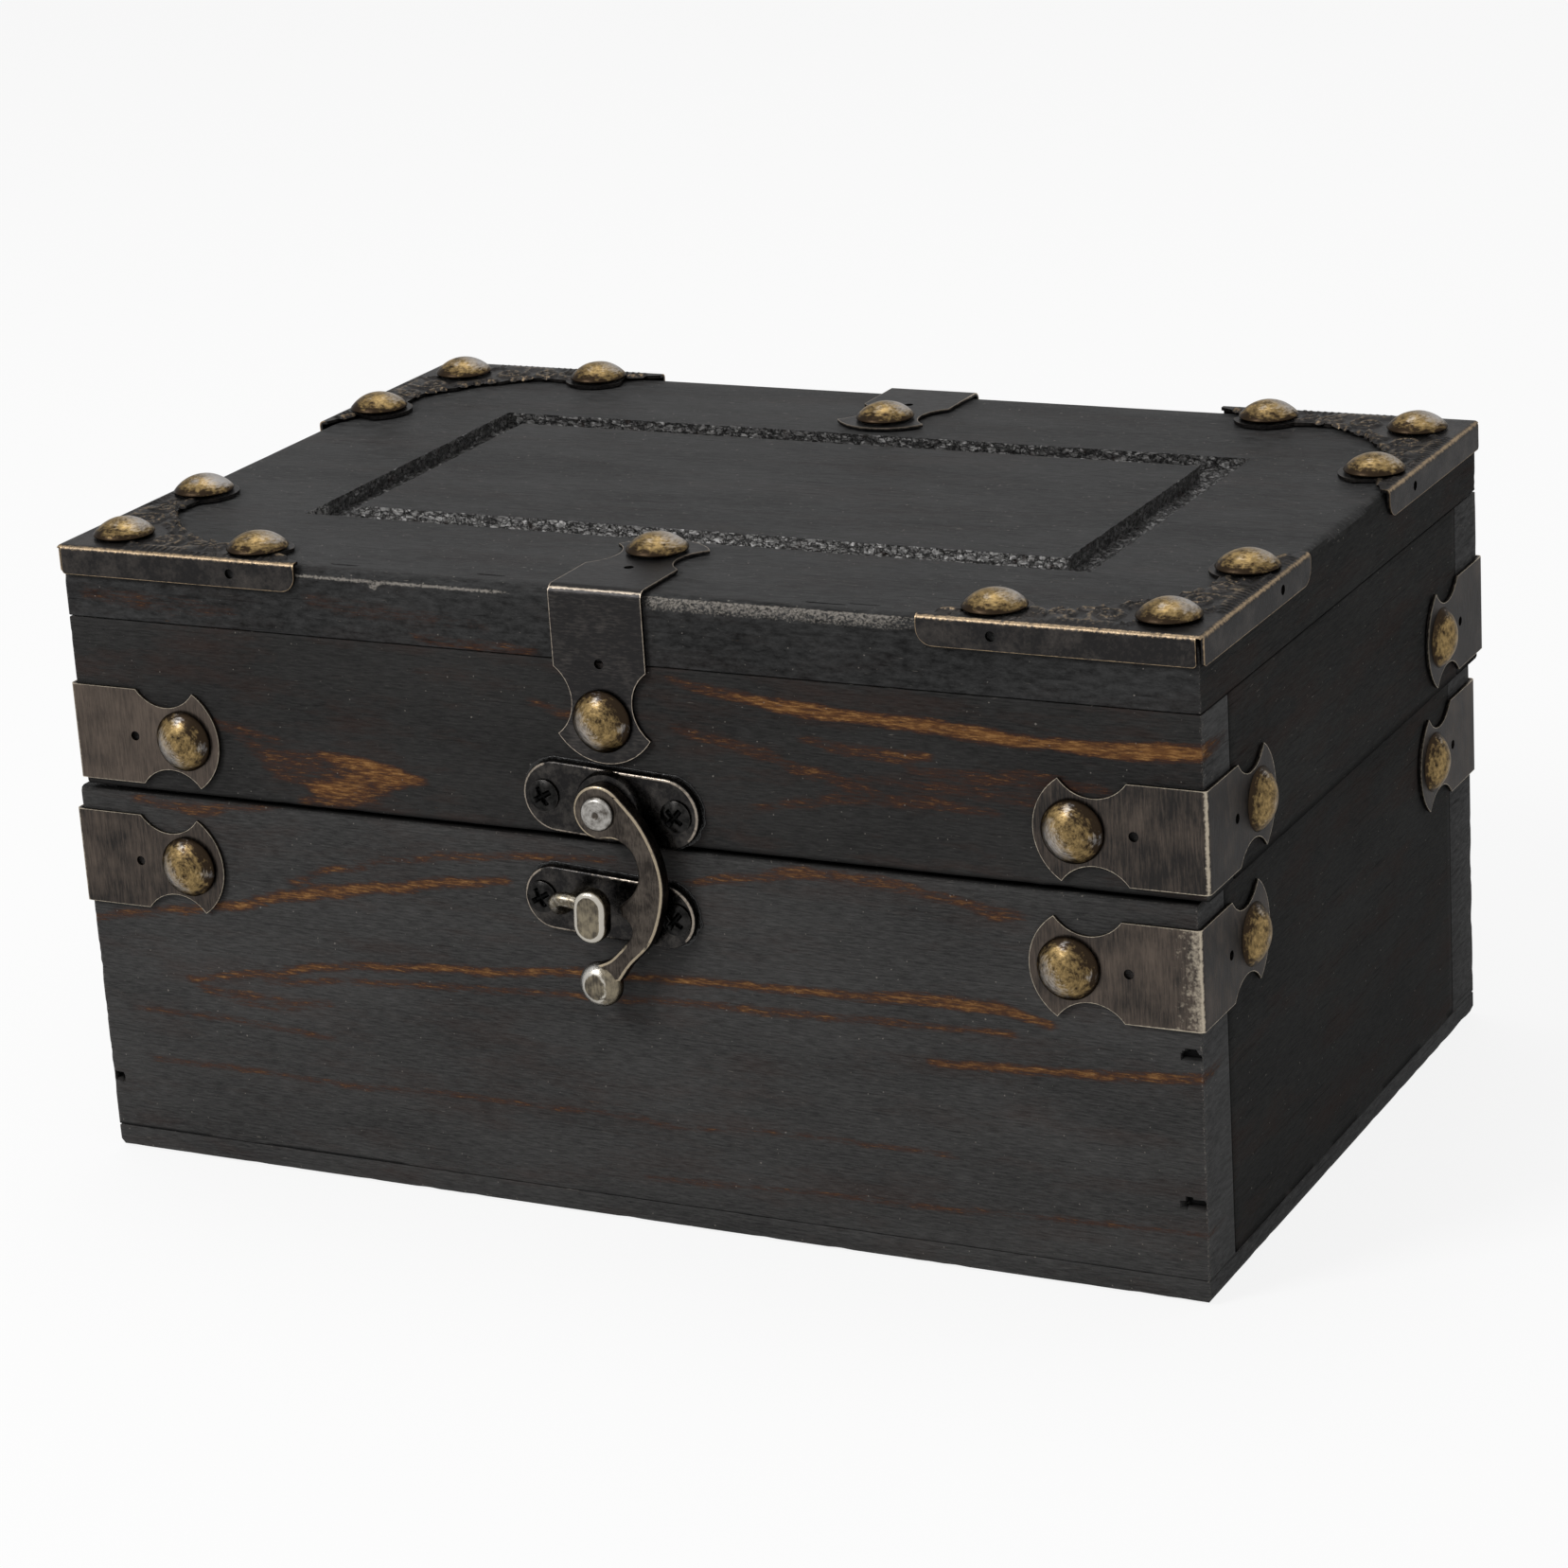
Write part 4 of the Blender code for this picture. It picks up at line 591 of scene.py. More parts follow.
for v in bm.verts:
    x, y, z = v.co * 1000
    if y < ROUND_Y + 0.1:
        # Scuffs, and a painted highlight in a band along the front edge's round
        v[edge] = max(v[edge], scuffs_and_painted_highlight(x, y, z))
        # An oval chip 2.6 mm long and 2 mm high
        chip = math.hypot((x - CHIP[0]) / 1.3, z - CHIP[1])
        if chip < 1:
            v.co += Vector((0, 0.0005, -0.0003)) * (1 - chip)
            v[edge] = 1.4
        v[rub] = streak_share(TOP_STREAKS, x, z)
    # Each gouge is sunk and painted black, as painted shade in its recess
    for gouge_x, gouge_y, half in GOUGES:
        inside = abs(x - gouge_x) < half and abs(y - gouge_y) < GOUGE_HALF_WIDTH - 0.02
        if inside and z > LID_TOP * 1000 - 0.5:
            v[shade_and_stain] = 1
            v.co.z -= GOUGE_DEPTH
    kinds = {f.material_index for f in v.link_faces}
    if 1 not in kinds:
        continue
    # The flakes' painted highlight is strongest on the groove's front arm, weaker on its back arm, and
    # weakest on its two end arms
    arm_edge = GROOVE_INNER[1] * 1000 - 0.5
    v[flake_highlight] = 1.2 if y < -arm_edge else 0.52 if y > arm_edge else 0.35
    p = v.co * 1000
    rough = noise.noise(Vector((p.x * 0.35, p.y * 0.9, p.z * 0.9)))
    fine = noise.noise(Vector((p.x * 1.1, p.y * 1.9, p.z * 1.9)) + Vector((7, 3, 1)))
    if kinds == {0, 1}:
        v[edge] = 0.75
        v.co += Vector((fine, noise.noise(p * 0.8 + Vector((20, 0, 0))), 0)) * RAGGED_RIM
    else:
        lumps = rough * 0.6 + fine * 0.5
        v.co += Vector((rough * CRUST_SPREAD, fine * CRUST_SPREAD, lumps * CRUST_RISE))
bm.normal_update()
for f in bm.faces:
    if abs(f.normal.x) > 0.7 and f.material_index == 0:
        f.material_index = 2
add_piece("lid_top_pine", bm, [TOP_PINE, crust, SIDE_PINE], "lid", ["lid_top_board"])

# Straps
# Blanks of 0.6 mm sheet steel with bow-tie ends, folded over the corners and nailed. The antique
# bronze finish is a dark patina, worn to pale metal in a thin line at its edges and folds.
SHEET = 0.0006
SEAT_GAP = 0.0003
STRAP_WIDTH = 0.018
STRAP_LEG = 0.0305
BASE_STRAP_Z = 0.0589
LID_STRAP_Z = 0.0832
NAIL_TO_END = 0.0073
BRAD_TO_END = 0.018
WAIST_LENGTH = 0.0122
WAIST_DEPTH = 0.0031
END_BULGE = 0.0048
RIM = 0.00026
BRAD_HOLE = 0.0009
CORNER_FOLD = 0.0003
EDGE_FOLD = 0.0011
CREASE_WEAR = 0.00035
RUB_REACH = 0.006


def antique_metal(name, patina, metal, worn, look, sheen="A9ACB0", turned=False):
    """Metal under a dark patina that was rubbed back by hand: brushed, patchy, bare at its edges, with
    painted sheen.
    """
    patch, shares, gloss, brush, wear_from = look
    material, tree = new_material(name)
    space = millimetres(tree)
    rubs_and_shade, painted_sheen_share, edge = [node(tree, "Attribute", attribute_name=label).outputs["Fac"]
                          for label in ("rub", "painted_sheen", "edge")]
    # Patina lies thick and thin in patches, thinned by brush marks and by what the hand rubbed, and
    # thickened where a piece paints shade with a rub below 0
    patches = node(tree, "TexNoise", {0: space, "Scale": 1 / patch, "Detail": 4, "Roughness": 0.6})
    thin = node(tree, "MapRange", {0: patches, 1: shares[0], 2: shares[1], 3: 0, 4: 1})
    spun = node(tree, "Attribute", attribute_name="spun").outputs["Vector"] if turned else space
    brush_space = node(tree, "Mapping", {0: spun, "Scale": brush})
    brushed = node(tree, "TexNoise", {0: brush_space, "Scale": 1, "Detail": 4, "Roughness": 0.7})
    scratch = node(tree, "MapRange", {0: brushed, 1: 0.35, 2: 0.75, 3: -0.25, 4: 0.45})
    thin = node(tree, "Math", {0: thin, 1: scratch}, operation="ADD")
    thin = node(tree, "Math", {0: thin, 1: rubs_and_shade}, operation="ADD", use_clamp=True)
    # Painted sheen in brush strokes: a painted reflection, as strong as each piece's vertices ask for
    strokes = node(tree, "Math", {0: brushed, 1: 1.3, 2: painted_sheen_share}, operation="MULTIPLY_ADD")
    strokes = node(tree, "MapRange", {0: strokes, 1: 1.05, 2: 1.65, 3: 0, 4: 0.8})
    # Wear on edges and folds, ragged at 0.7 mm
    ragged = node(tree, "TexNoise", {0: space, "Scale": 1.4, "Detail": 4, "Roughness": 0.65})
    wear = node(tree, "Math", {0: ragged, 1: edge}, operation="ADD")
    wear = node(tree, "MapRange", {0: wear, 1: wear_from + 0.5, 2: wear_from + 0.85, 3: 0, 4: 0.9})
    colour = linear(patina)
    for part, over in ((thin, metal), (strokes, sheen), (wear, worn)):
        colour = node(tree, "Mix", {0: part, 6: colour, 7: linear(over)}, data_type="RGBA").outputs[2]
    rough = node(tree, "MapRange", {0: brushed, 1: 0.3, 2: 0.7, 3: gloss[0], 4: gloss[1]})
    height = node(tree, "Math", {0: brushed, 1: patches}, operation="ADD")
    surface(tree, height, 0.35, 0.0001, {"Base Color": colour, "Metallic": 1.0, "Roughness": rough,
                                         "Specular Tint": (0.6, 0.6, 0.6, 1)})
    return material


def arc(centre, radius, start, end, steps, last_radius=None):
    """Points on a circle from one angle to another, in degrees, or on a spiral to its last radius."""
    points = []
    narrower = 0 if last_radius is None else radius - last_radius
    for step in range(steps + 1):
        t = step / steps
        angle = math.radians(start + (end - start) * t)
        reach = radius - narrower * t ** 0.8
        points.append((centre[0] + reach * math.cos(angle), centre[1] + reach * math.sin(angle)))
    return points


def bow(start, end, rise, steps):
    """An arc between two points that rises to the left of the way from start to end."""
    start, end = Vector(start), Vector(end)
    half = (end - start) / 2
    normal = Vector((-half.y, half.x)).normalized()
    radius = (half.length_squared + rise * rise) / (2 * abs(rise))
    centre = start + half + normal * (rise - math.copysign(radius, rise))
    first = math.degrees(math.atan2(start.y - centre.y, start.x - centre.x))
    turn = math.degrees(2 * math.asin(min(1, half.length / radius))) * (-1 if rise > 0 else 1)
    return arc(centre, radius, first, first + turn, steps)


def cut_blank(outline, holes):
    """A flat sheet from its outline and round holes, with a narrow rim marked as worn."""
    bm = bmesh.new()
    for points in [outline] + [arc(centre, radius, 0, 360, 16)[:-1] for centre, radius in holes]:
        corners = [bm.verts.new((x, y, 0)) for x, y in points]
        for a, b in zip(corners, corners[1:] + corners[:1]):
            bm.edges.new((a, b))
    bmesh.ops.triangle_fill(bm, edges=bm.edges[:], use_beauty=True, normal=(0, 0, 1))
    bmesh.ops.recalc_face_normals(bm, faces=bm.faces)
    if bm.faces[0].normal.z < 0:
        bmesh.ops.reverse_faces(bm, faces=bm.faces)
    bmesh.ops.inset_region(bm, faces=bm.faces[:], thickness=RIM, use_boundary=True, use_even_offset=True)
    edge = mark(bm, "edge")
    for v in bm.verts:
        near_hole = any((v.co.xy - Vector(centre)).length < radius * 1.3 for centre, radius in holes)
        v[edge] = 1 if v.is_boundary and not near_hole else 0
    return bm


def fold(u, radius):
    """Where a distance along the blank ends up round a square fold: along, and down."""
    past = u + radius
    length = radius * math.pi / 2
    angle = min(max(past, 0), length) / radius
    along = min(past, 0) + radius * (math.sin(angle) - 1)
    return along, radius * (math.cos(angle) - 1) - max(past - length, 0)


def thicken(bm):
    """Gives the sheet its thickness, outwards. Its under side is not worn."""
    bm.normal_update()
    edge = mark(bm, "edge")
    under = bm.verts[:]
    bmesh.ops.solidify(bm, geom=bm.faces[:], thickness=-SHEET)
    for v in under:
        v[edge] = 0
    bmesh.ops.recalc_face_normals(bm, faces=bm.faces)


def strap(corner, first_out, second_out, radius, rubs):
    """A folded strap: one leg lies on the face that each outward direction names."""
    half = STRAP_WIDTH / 2
    tip = STRAP_LEG - END_BULGE
    right = bow((tip - WAIST_LENGTH, half), (tip, half), -WAIST_DEPTH, 14)
    right += bow((tip, half), (tip, -half), END_BULGE, 20)[1:11]
    outline = right + [(x, -y) for x, y in reversed(right[:-1])]
    outline += [(-x, -y) for x, y in right] + [(-x, y) for x, y in reversed(right[:-1])]
    holes = [((sign * (STRAP_LEG - BRAD_TO_END), 0), BRAD_HOLE) for sign in (-1, 1)]
    bm = cut_blank(outline, holes)
    length = radius * math.pi / 2
    bend = [length * t / 8 - radius for t in range(9)]
    cross_cut(bm, 0, [bend[0] - 0.0008] + bend + [bend[-1] + 0.0008])
    edge, rub = mark(bm, "edge"), mark(bm, "rub")
    first_rub, second_leg_shade, near_fold = rubs
    frame_of = Matrix((second_out, first_out.cross(second_out), first_out)).transposed()
    origin = corner + (first_out + second_out) * SEAT_GAP
    for v in bm.verts:
        u = v.co.x
        # The second leg is darkened by a value below 0, as painted shade
        v[rub] = first_rub if u < 0 else second_leg_shade
        rubbed = near_fold * (1 + u / RUB_REACH) if u < 0 else 0
        v[edge] = max(v[edge], 1 - abs(u - bend[4]) / CREASE_WEAR, rubbed)
        along, down = fold(u, radius)
        v.co = origin + frame_of @ Vector((along, v.co.y, down))
    thicken(bm)
    return bm


# After the colours: size of the patina's patches in millimetres, how thin it is where metal starts
# to show and shows in full, least and most roughness, brush marks per millimetre, and wear's start
STRAP_METAL = antique_metal("antique bronze on brushed sheet", "2D2B2A", "5E544C", "B5AA98",
                            (8, (0.30, 0.95), (0.30, 0.45), (3.0, 3.0, 0.25), 0.55))
CENTRE_METAL = antique_metal("antique bronze on hand-scratched sheet", "2B2A2A", "524E4B", "B5A898",
                             (6, (0.50, 1.00), (0.28, 0.42), (0.5, 2.4, 2.4), 0.50))
RIGHT, UP, BACK = Vector((1, 0, 0)), Vector((0, 0, 1)), Vector((0, 1, 0))
LEG_NAIL = STRAP_LEG - NAIL_TO_END - SEAT_GAP
# How much the front leg was rubbed, how dark the side leg is painted as shade (below 0), and how
# much the metal next to the fold was rubbed
RUBS = {("base", "left"): (0.05, -0.3, 0), ("base", "right"): (0.15, -0.2, 0.75),
        ("lid", "left"): (0.40, -0.3, 0), ("lid", "right"): (-0.10, -0.3, 0.3)}
# Each nail's name, place, outward direction, body, and the CAD node it replaces, if it has its own
nail_places = []
for body, x, height in (("base", 0, BASE_STRAP_Z), ("lid", LID_X, LID_STRAP_Z)):
    for side_name, sign in SIDES:
        for end_name, end in ENDS:
            corner = Vector((x + sign * HALF_WIDTH, end * HALF_DEPTH, height))
            bm = strap(corner, BACK * end, RIGHT * sign, CORNER_FOLD, RUBS[body, side_name])
            cad = f"{body}_strap_{end_name}_{side_name}"
            add_piece(cad + "_bronze", bm, [STRAP_METAL], body, [cad], sharp=50)
            own = f"{body}_nail_{end_name}_{side_name}" if end_name == "front" else None
            nail_places.append((cad + "_end_nail", corner - RIGHT * sign * LEG_NAIL, BACK * end, body, own))
            nail_places.append((cad + "_side_nail", corner - BACK * end * LEG_NAIL, RIGHT * sign, body, None))
for end_name, end in ENDS:
    corner = Vector((LID_X, end * HALF_DEPTH, LID_TOP))
    bm = strap(corner, UP, BACK * end, EDGE_FOLD, (-0.1, 0.0, 0.0))
    cad = end_name + "_centre_strap"
    add_piece(cad + "_bronze", bm, [CENTRE_METAL], "lid", [cad], sharp=50)
    for level, inward, outward in (("low", UP, BACK * end), ("top", BACK * end, UP)):
        own = f"{end_name}_centre_nail_{level}"
        nail_places.append((own + "_head", corner - inward * LEG_NAIL, outward, "lid", own))

# Corner plates
# The same sheet, pressed with scrolls and a beaded border before its two flaps are folded down
# over the lid's edges. Three nails hold each plate.
PLATE_REACH = 0.050
PLATE_NAILS = ((0.0085, 0.0085), (0.0385, 0.0063), (0.0063, 0.0385))
LOBE_RADIUS = 0.0066
FLAP_HEIGHT = 0.0046
FLAP_ROUND = 0.0030
FLAP_CORNER = 0.0006
FLAP_BRAD = 0.0365
RELIEF = 0.0004
PRESSED_FROM = 0.001
# Beads and pressed lines in millimetres
BEAD_SPACING = 1.3
BEAD_ROW = 1.35
BEAD_RADIUS = 0.55
LINE_HALF_WIDTH = 0.62
NAIL_CLEARANCE = 5.4


def plate_outline():
    """The flat blank: the lid's corner is at (0, 0), and each flap lies beyond an axis."""
    half = [(0, 0), (0.0005, 0)]
    half += arc((0.0005 + FLAP_CORNER, FLAP_CORNER - FLAP_HEIGHT), FLAP_CORNER, 180, 270, 4)
    half += arc((PLATE_REACH - FLAP_ROUND, FLAP_ROUND - FLAP_HEIGHT), FLAP_ROUND, -90, 0, 10)
    half += [(PLATE_REACH, 0), (PLATE_REACH, 0.0012), (PLATE_REACH - 0.0065, 0.0040)]
    half += arc(PLATE_NAILS[1], LOBE_RADIUS, 20, 155, 18)
    cusps = bow((0.028, 0.0085), (0.0085, 0.028), 0.0028, 3)
    outline = list(half)
    for first, second in zip(cusps, cusps[1:]):
        outline += bow(first, second, 0.0013, 9)[:-1]
    return outline + cusps[-1:] + [(y, x) for x, y in reversed(half[1:])]


# Pressed lines of one arm, in millimetres; the other arm mirrors them
LINES = [arc((18.6, 7.0), 3.9, -100, 458, 40, 0.7), arc((26.0, 6.2), 2.8, 60, -462, 38, 0.6),
         bow((14.6, 3.2), (31.5, 4.4), -1.3, 14), bow((29.3, 4.9), (32.8, 7.4), 0.9, 6),
         bow((12.5, 14.8), (16.6, 11.9), 1.1, 6), bow((13.4, 15.6), (18.2, 12.6), 1.3, 6),
         bow((21.2, 10.9), (24.6, 9.6), -0.9, 6), bow((3.3, 13.4), (13.4, 3.3), 0.9, 12),
         bow((41.5, 3.3), (46.5, 2.4), 0.5, 5)]
strokes = [(Vector(a), Vector(b)) for line in LINES for a, b in zip(line, line[1:])]


def pressed_height(x, y):
    """How high the pressed pattern stands at a point of the plate, from 0 to 1."""
    x, y = (x, y) if x >= y else (y, x)
    point = Vector((x, y))
    nearest = 9
    for a, b in strokes:
        run = b - a
        t = min(1, max(0, (point - a).dot(run) / run.length_squared))
        nearest = min(nearest, (point - a - run * t).length)
    rise = max(0, 1 - (nearest / LINE_HALF_WIDTH) ** 2)
    if 13.5 < x < 47:
        bead = math.hypot(((x / BEAD_SPACING) % 1 - 0.5) * BEAD_SPACING, y - BEAD_ROW)
        rise = max(rise, 0.9 * max(0, 1 - (bead / BEAD_RADIUS) ** 2))
    for nail_x, nail_y in PLATE_NAILS[:2]:
        away = math.hypot(x - nail_x * 1000, y - nail_y * 1000)
        rise *= min(1, max(0, (away - NAIL_CLEARANCE) / 0.6))
    return rise


PLATE_METAL = antique_metal("antique bronze on pressed sheet", "292828", "474340", "9A866C",
                            (6, (0.45, 0.80), (0.28, 0.44), (1.6, 1.6, 1.6), 0.55))
holes = [((FLAP_BRAD, -FLAP_HEIGHT * 0.45), BRAD_HOLE), ((-FLAP_HEIGHT * 0.45, FLAP_BRAD), BRAD_HOLE)]
blank = cut_blank(plate_outline(), holes)
length = CORNER_FOLD * math.pi / 2
bend = [-0.0015, -0.0008] + [length * t / 6 - length + CORNER_FOLD for t in range(7)] + [0.0012, 0.0026]
fine = [0.0045 + 0.00045 * i for i in range(100)]
for axis in (0, 1):
    cross_cut(blank, axis, bend + fine)
edge = mark(blank, "edge")
crease = CORNER_FOLD - length / 2
for v in blank.verts:
    x, y = v.co.x, v.co.y
    v[edge] = max(v[edge], 0.9 - min(abs(x - crease), abs(y - crease)) / 0.0005)
    rise = 0
    if min(x, y) > PRESSED_FROM and v.is_boundary:
        v[edge] = 0.5
    elif min(x, y) > PRESSED_FROM:
        rise = pressed_height(x * 1000, y * 1000)
        v[edge] = max(v[edge], 0.68 * rise)
    along_x, drop_x = fold(-x, CORNER_FOLD)
    along_y, drop_y = fold(-y, CORNER_FOLD)
    v.co = Vector((-along_x, -along_y, drop_x + drop_y + rise * RELIEF))
for end_name, end in ENDS:
    for side_name, sign in SIDES:
        bm = blank.copy()
        bmesh.ops.scale(bm, vec=(-sign, -end, 1), verts=bm.verts)
        if sign * end < 0:
            bmesh.ops.reverse_faces(bm, faces=bm.faces)
        corner = Vector((LID_X + sign * HALF_WIDTH, end * HALF_DEPTH, LID_TOP))
        bmesh.ops.translate(bm, vec=corner + Vector((sign, end, 1)) * SEAT_GAP, verts=bm.verts)
        thicken(bm)
        name = f"corner_plate_{end_name}_{side_name}"
        add_piece(name + "_bronze", bm, [PLATE_METAL], "lid", [name], sharp=50)
        for label, (nail_x, nail_y) in zip(("corner", "long", "short"), PLATE_NAILS):
            spot = corner + Vector((sign * (SEAT_GAP - nail_x), end * (SEAT_GAP - nail_y), 0))
            own = f"top_nail_{end_name}_{side_name}_{label}"
            nail_places.append((own + "_head", spot, UP, "lid", own))
blank.free()

# Dome nails
# Pressed brass-plated heads 11 mm across, hammered home one by one. Rubbing has left brass
# on the crown and a brown patina round the foot, so no two are quite alike. Painted sheen, two
# painted glints and painted shade on the side away from the sheen stand for reflections.
DOME_RADIUS = 0.0056
DOME_HEIGHT = 0.0031
DOME_FOOT = 0.0004
SHANK = 0.0008
NAIL_METAL = antique_metal("antique brass on domed nails", "2E251C", "A0875A", "C2A878",
                           (1.3, (0.26, 0.80), (0.30, 0.44), (2.8, 1.0, 1.0), 0.95), "AFAEAF", True)


def turn_profile(bm, profile, steps):
    """Turns a line of radii and heights about z."""
    corners = [bm.verts.new((radius, 0, z)) for radius, z in profile]
    line = [bm.edges.new((a, b)) for a, b in zip(corners, corners[1:])]
    bmesh.ops.spin(bm, geom=corners + line, cent=(0, 0, 0), axis=(0, 0, 1), dvec=(0, 0, 0),
                   angle=2 * math.pi, steps=steps, use_merge=True)
    bmesh.ops.remove_doubles(bm, verts=bm.verts, dist=0.000005)
    bmesh.ops.recalc_face_normals(bm, faces=bm.faces)


def set_in_place(bm, frame_of, origin):
    """Turns a mesh into a frame and moves it to its origin."""
    for v in bm.verts:
        v.co = origin + frame_of @ v.co
    bm.normal_update()


def mark_turning(bm, shift, spread):
    """Coordinates in which brush marks run round the axis."""
    spun = bm.verts.layers.float_vector.new("spun")
    for v in bm.verts:
        angle = math.atan2(v.co.y, v.co.x)
        v[spun] = (v.co.xy.length * 1000 + shift, spread * math.cos(angle), spread * math.sin(angle))


def dome_nail(seat, outward, seed):
    """A nail head on its seat, with its own dents, wear and painted reflections."""
    bm = bmesh.new()
    cap = DOME_HEIGHT - DOME_FOOT
    ball = (DOME_RADIUS ** 2 + cap ** 2) / (2 * cap)
    angles = [math.asin(DOME_RADIUS / ball) * step / 12 for step in range(13)]
    profile = [(ball * math.sin(a), DOME_HEIGHT - ball + ball * math.cos(a)) for a in angles]
    profile += [(DOME_RADIUS + 0.00002, 0.0002), (DOME_RADIUS - 0.0001, 0), (SHANK, 0), (SHANK, -0.008),
                (0, -0.009)]
    turn_profile(bm, profile, 48)
    mark_turning(bm, seed * 13, 3.2)
    rub, painted_sheen = mark(bm, "rub"), mark(bm, "painted_sheen")
    turn = outward.to_track_quat("Z", "Y").to_matrix()
    # Painted sheen and bare brass are strongest on heads on top, for their brighter reflection, and the
    # painted sheen is less on the front heads and least on the side and the back. Two painted glints
    # lie where lamps would reflect.
    if outward.z > 0.5:
        crown_sheen, crown_rub = 0.64, 0.30
        sheen_toward, glints = (0.5, 0.7, 0), ((0, -0.5, 0), (0.7, 0.5, 0))
    else:
        crown_sheen, crown_rub = 0.34 if outward.y < -0.5 else 0.12, 0.14
        sheen_toward, glints = (-0.8, 0, -0.5), ((0, 0, 0.78), (0.8, 0, -0.1))
    sheen_toward, *glints = [(turn.inverted() @ Vector(way)).xy for way in (sheen_toward, *glints)]
    sheen_strength = 0.85 + 0.4 * noise.noise(Vector((seed * 1.7, 3, 0)))
    for v in bm.verts:
        if v.co.z > DOME_HEIGHT * 0.1:
            dent = noise.noise(Vector((v.co.x, v.co.y, 0)) * 330 + Vector((seed * 9.7, seed * 3.1, 0)))
            v.co.z -= 0.00010 * (0.5 + 0.5 * dent)
        spot = v.co.xy / DOME_RADIUS
        reach, side = spot.length, spot.dot(sheen_toward)
        glint = max(0, 1 - min((spot - at).length for at in glints) / 0.45)
        # Painted sheen towards one side and in two painted glints, fading at the rim
        v[painted_sheen] = sheen_strength * max((crown_sheen + 1.1 * side) * (1 - reach ** 6), 0.72 * glint)
        # Less bare brass on the side away from the sheen, as painted shade, and patina at the rim and in a
        # darker ring round the crown
        ring = max(0, 1 - abs(reach - 0.24) / 0.10)
        v[rub] = crown_rub - 0.50 * max(0, -side) - 0.8 * reach ** 6 - 0.30 * ring
    set_in_place(bm, turn, seat)
    return bm


for seed, (name, spot, outward, body, own) in enumerate(nail_places):
    # A nail that the CAD model fuses with its strap sits half a sheet's thickness in it
    lift = SEAT_GAP + SHEET + (SEAT_GAP if own else -SHEET / 2)
    bm = dome_nail(spot + outward * lift, outward, seed)
    add_piece(name, bm, [NAIL_METAL], body, [own] if own else [])

# Butt hinges
# Two small hinges of bronzed steel on the back. Each leaf is screwed on with two screws, and the
# leaves' knuckles turn on a headed pin.
HINGE_X = 0.062
HINGE_WIDTH = 0.020
HINGE_LEAF = 0.014
# How far from the pin's axis a leaf starts, and where a knuckle's web starts and ends
LEAF_START = 0.0025
WEB = (0.0002, 0.0030)
LEAF_BACK = HALF_DEPTH + SEAT_GAP
LEAF_FACE = LEAF_BACK + 0.0008
BARREL_RADIUS = 0.0020
KNUCKLE_GAP = 0.0004
PIN_RADIUS = 0.0009
PIN_HEAD_RADIUS = 0.0017
PIN_HEAD = 0.0007
PIN_AXIS = Vector((0, 0.0723, 0.07225))
SCREW_SPACING = 0.012
SCREW_TO_AXIS = 0.009
HINGE_METAL = antique_metal("antique bronze on steel hinges", "33302D", "5A534B", "A08E70",
                            (5, (0.42, 0.72), (0.30, 0.48), (0.4, 3.0, 3.0), 0.55))


def rod(bm, middle, radius, length, rounding):
    """A rod along x with rounded rims."""
    turn = RIGHT.to_track_quat("Z", "Y").to_matrix().to_4x4()
    made = bmesh.ops.create_cone(bm, cap_ends=True, segments=40, radius1=radius, radius2=radius,
                                 depth=length, matrix=Matrix.Translation(middle) @ turn)
    edges = dict.fromkeys(e for v in made["verts"] for e in v.link_edges)
    soften(bm, [e for e in edges if len({len(f.verts) > 4 for f in e.link_faces}) == 2], rounding, 3)


def mark_edges(bm):
    """Marks as worn the corners where faces meet at an angle."""
    edge = mark(bm, "edge")
    bm.normal_update()
    for v in bm.verts:
        v[edge] = 1 if max((e.calc_face_angle(0) for e in v.link_edges), default=0) > 0.30 else 0


knuckle = (HINGE_WIDTH - 2 * KNUCKLE_GAP) / 3
half = HINGE_WIDTH / 2
for side_name, sign in SIDES:
    axis = PIN_AXIS + RIGHT * sign * HINGE_X
    for body, sense, spans in (("base", -1, ((-half, knuckle - half), (half - knuckle, half))),
                               ("lid", 1, ((-knuckle / 2, knuckle / 2),))):
        bm = bmesh.new()
        # The leaf, and a web to each of its knuckles: along x, and away from the pin
        for low_x, high_x, near, far in [(-half, half, LEAF_START, HINGE_LEAF)] + [s + WEB for s in spans]:
            low_z, high_z = sorted((axis.z + sense * near, axis.z + sense * far))
            block(bm, (axis.x + low_x, LEAF_BACK, low_z), (axis.x + high_x, LEAF_FACE, high_z))
        soften(bm, bm.edges[:], 0.0002, 3)
        for low_x, high_x in spans:
            rod(bm, axis + RIGHT * (low_x + high_x) / 2, BARREL_RADIUS, high_x - low_x, 0.0002)
        mark_edges(bm)
        cad = f"hinge_{body}_leaf_{side_name}"
        add_piece(cad + "_bronze", bm, [HINGE_METAL], body, [cad])
    bm = bmesh.new()
    rod(bm, axis, PIN_RADIUS, HINGE_WIDTH + 0.0008, 0.0001)
    for end in (-1, 1):
        rod(bm, axis + RIGHT * end * (half + 0.0003 + PIN_HEAD / 2), PIN_HEAD_RADIUS, PIN_HEAD, 0.0002)
    mark_edges(bm)
    cad = "hinge_pin_" + side_name
    add_piece(cad + "_bronze", bm, [HINGE_METAL], "base", [cad])

# Screws
# Domed steel screws with a cross recess, blackened. Four hold the latch's castings, and eight
# small ones hold the hinge leaves.
SCREW_RIM = 0.0003
CROSS_DEPTH = 0.0007
SCREW_METAL = antique_metal("blackened steel screws", "0F0F0F", "2E2D2C", "605C58",
                            (2.5, (0.42, 0.72), (0.22, 0.38), (1.2, 1.2, 1.2), 0.75))


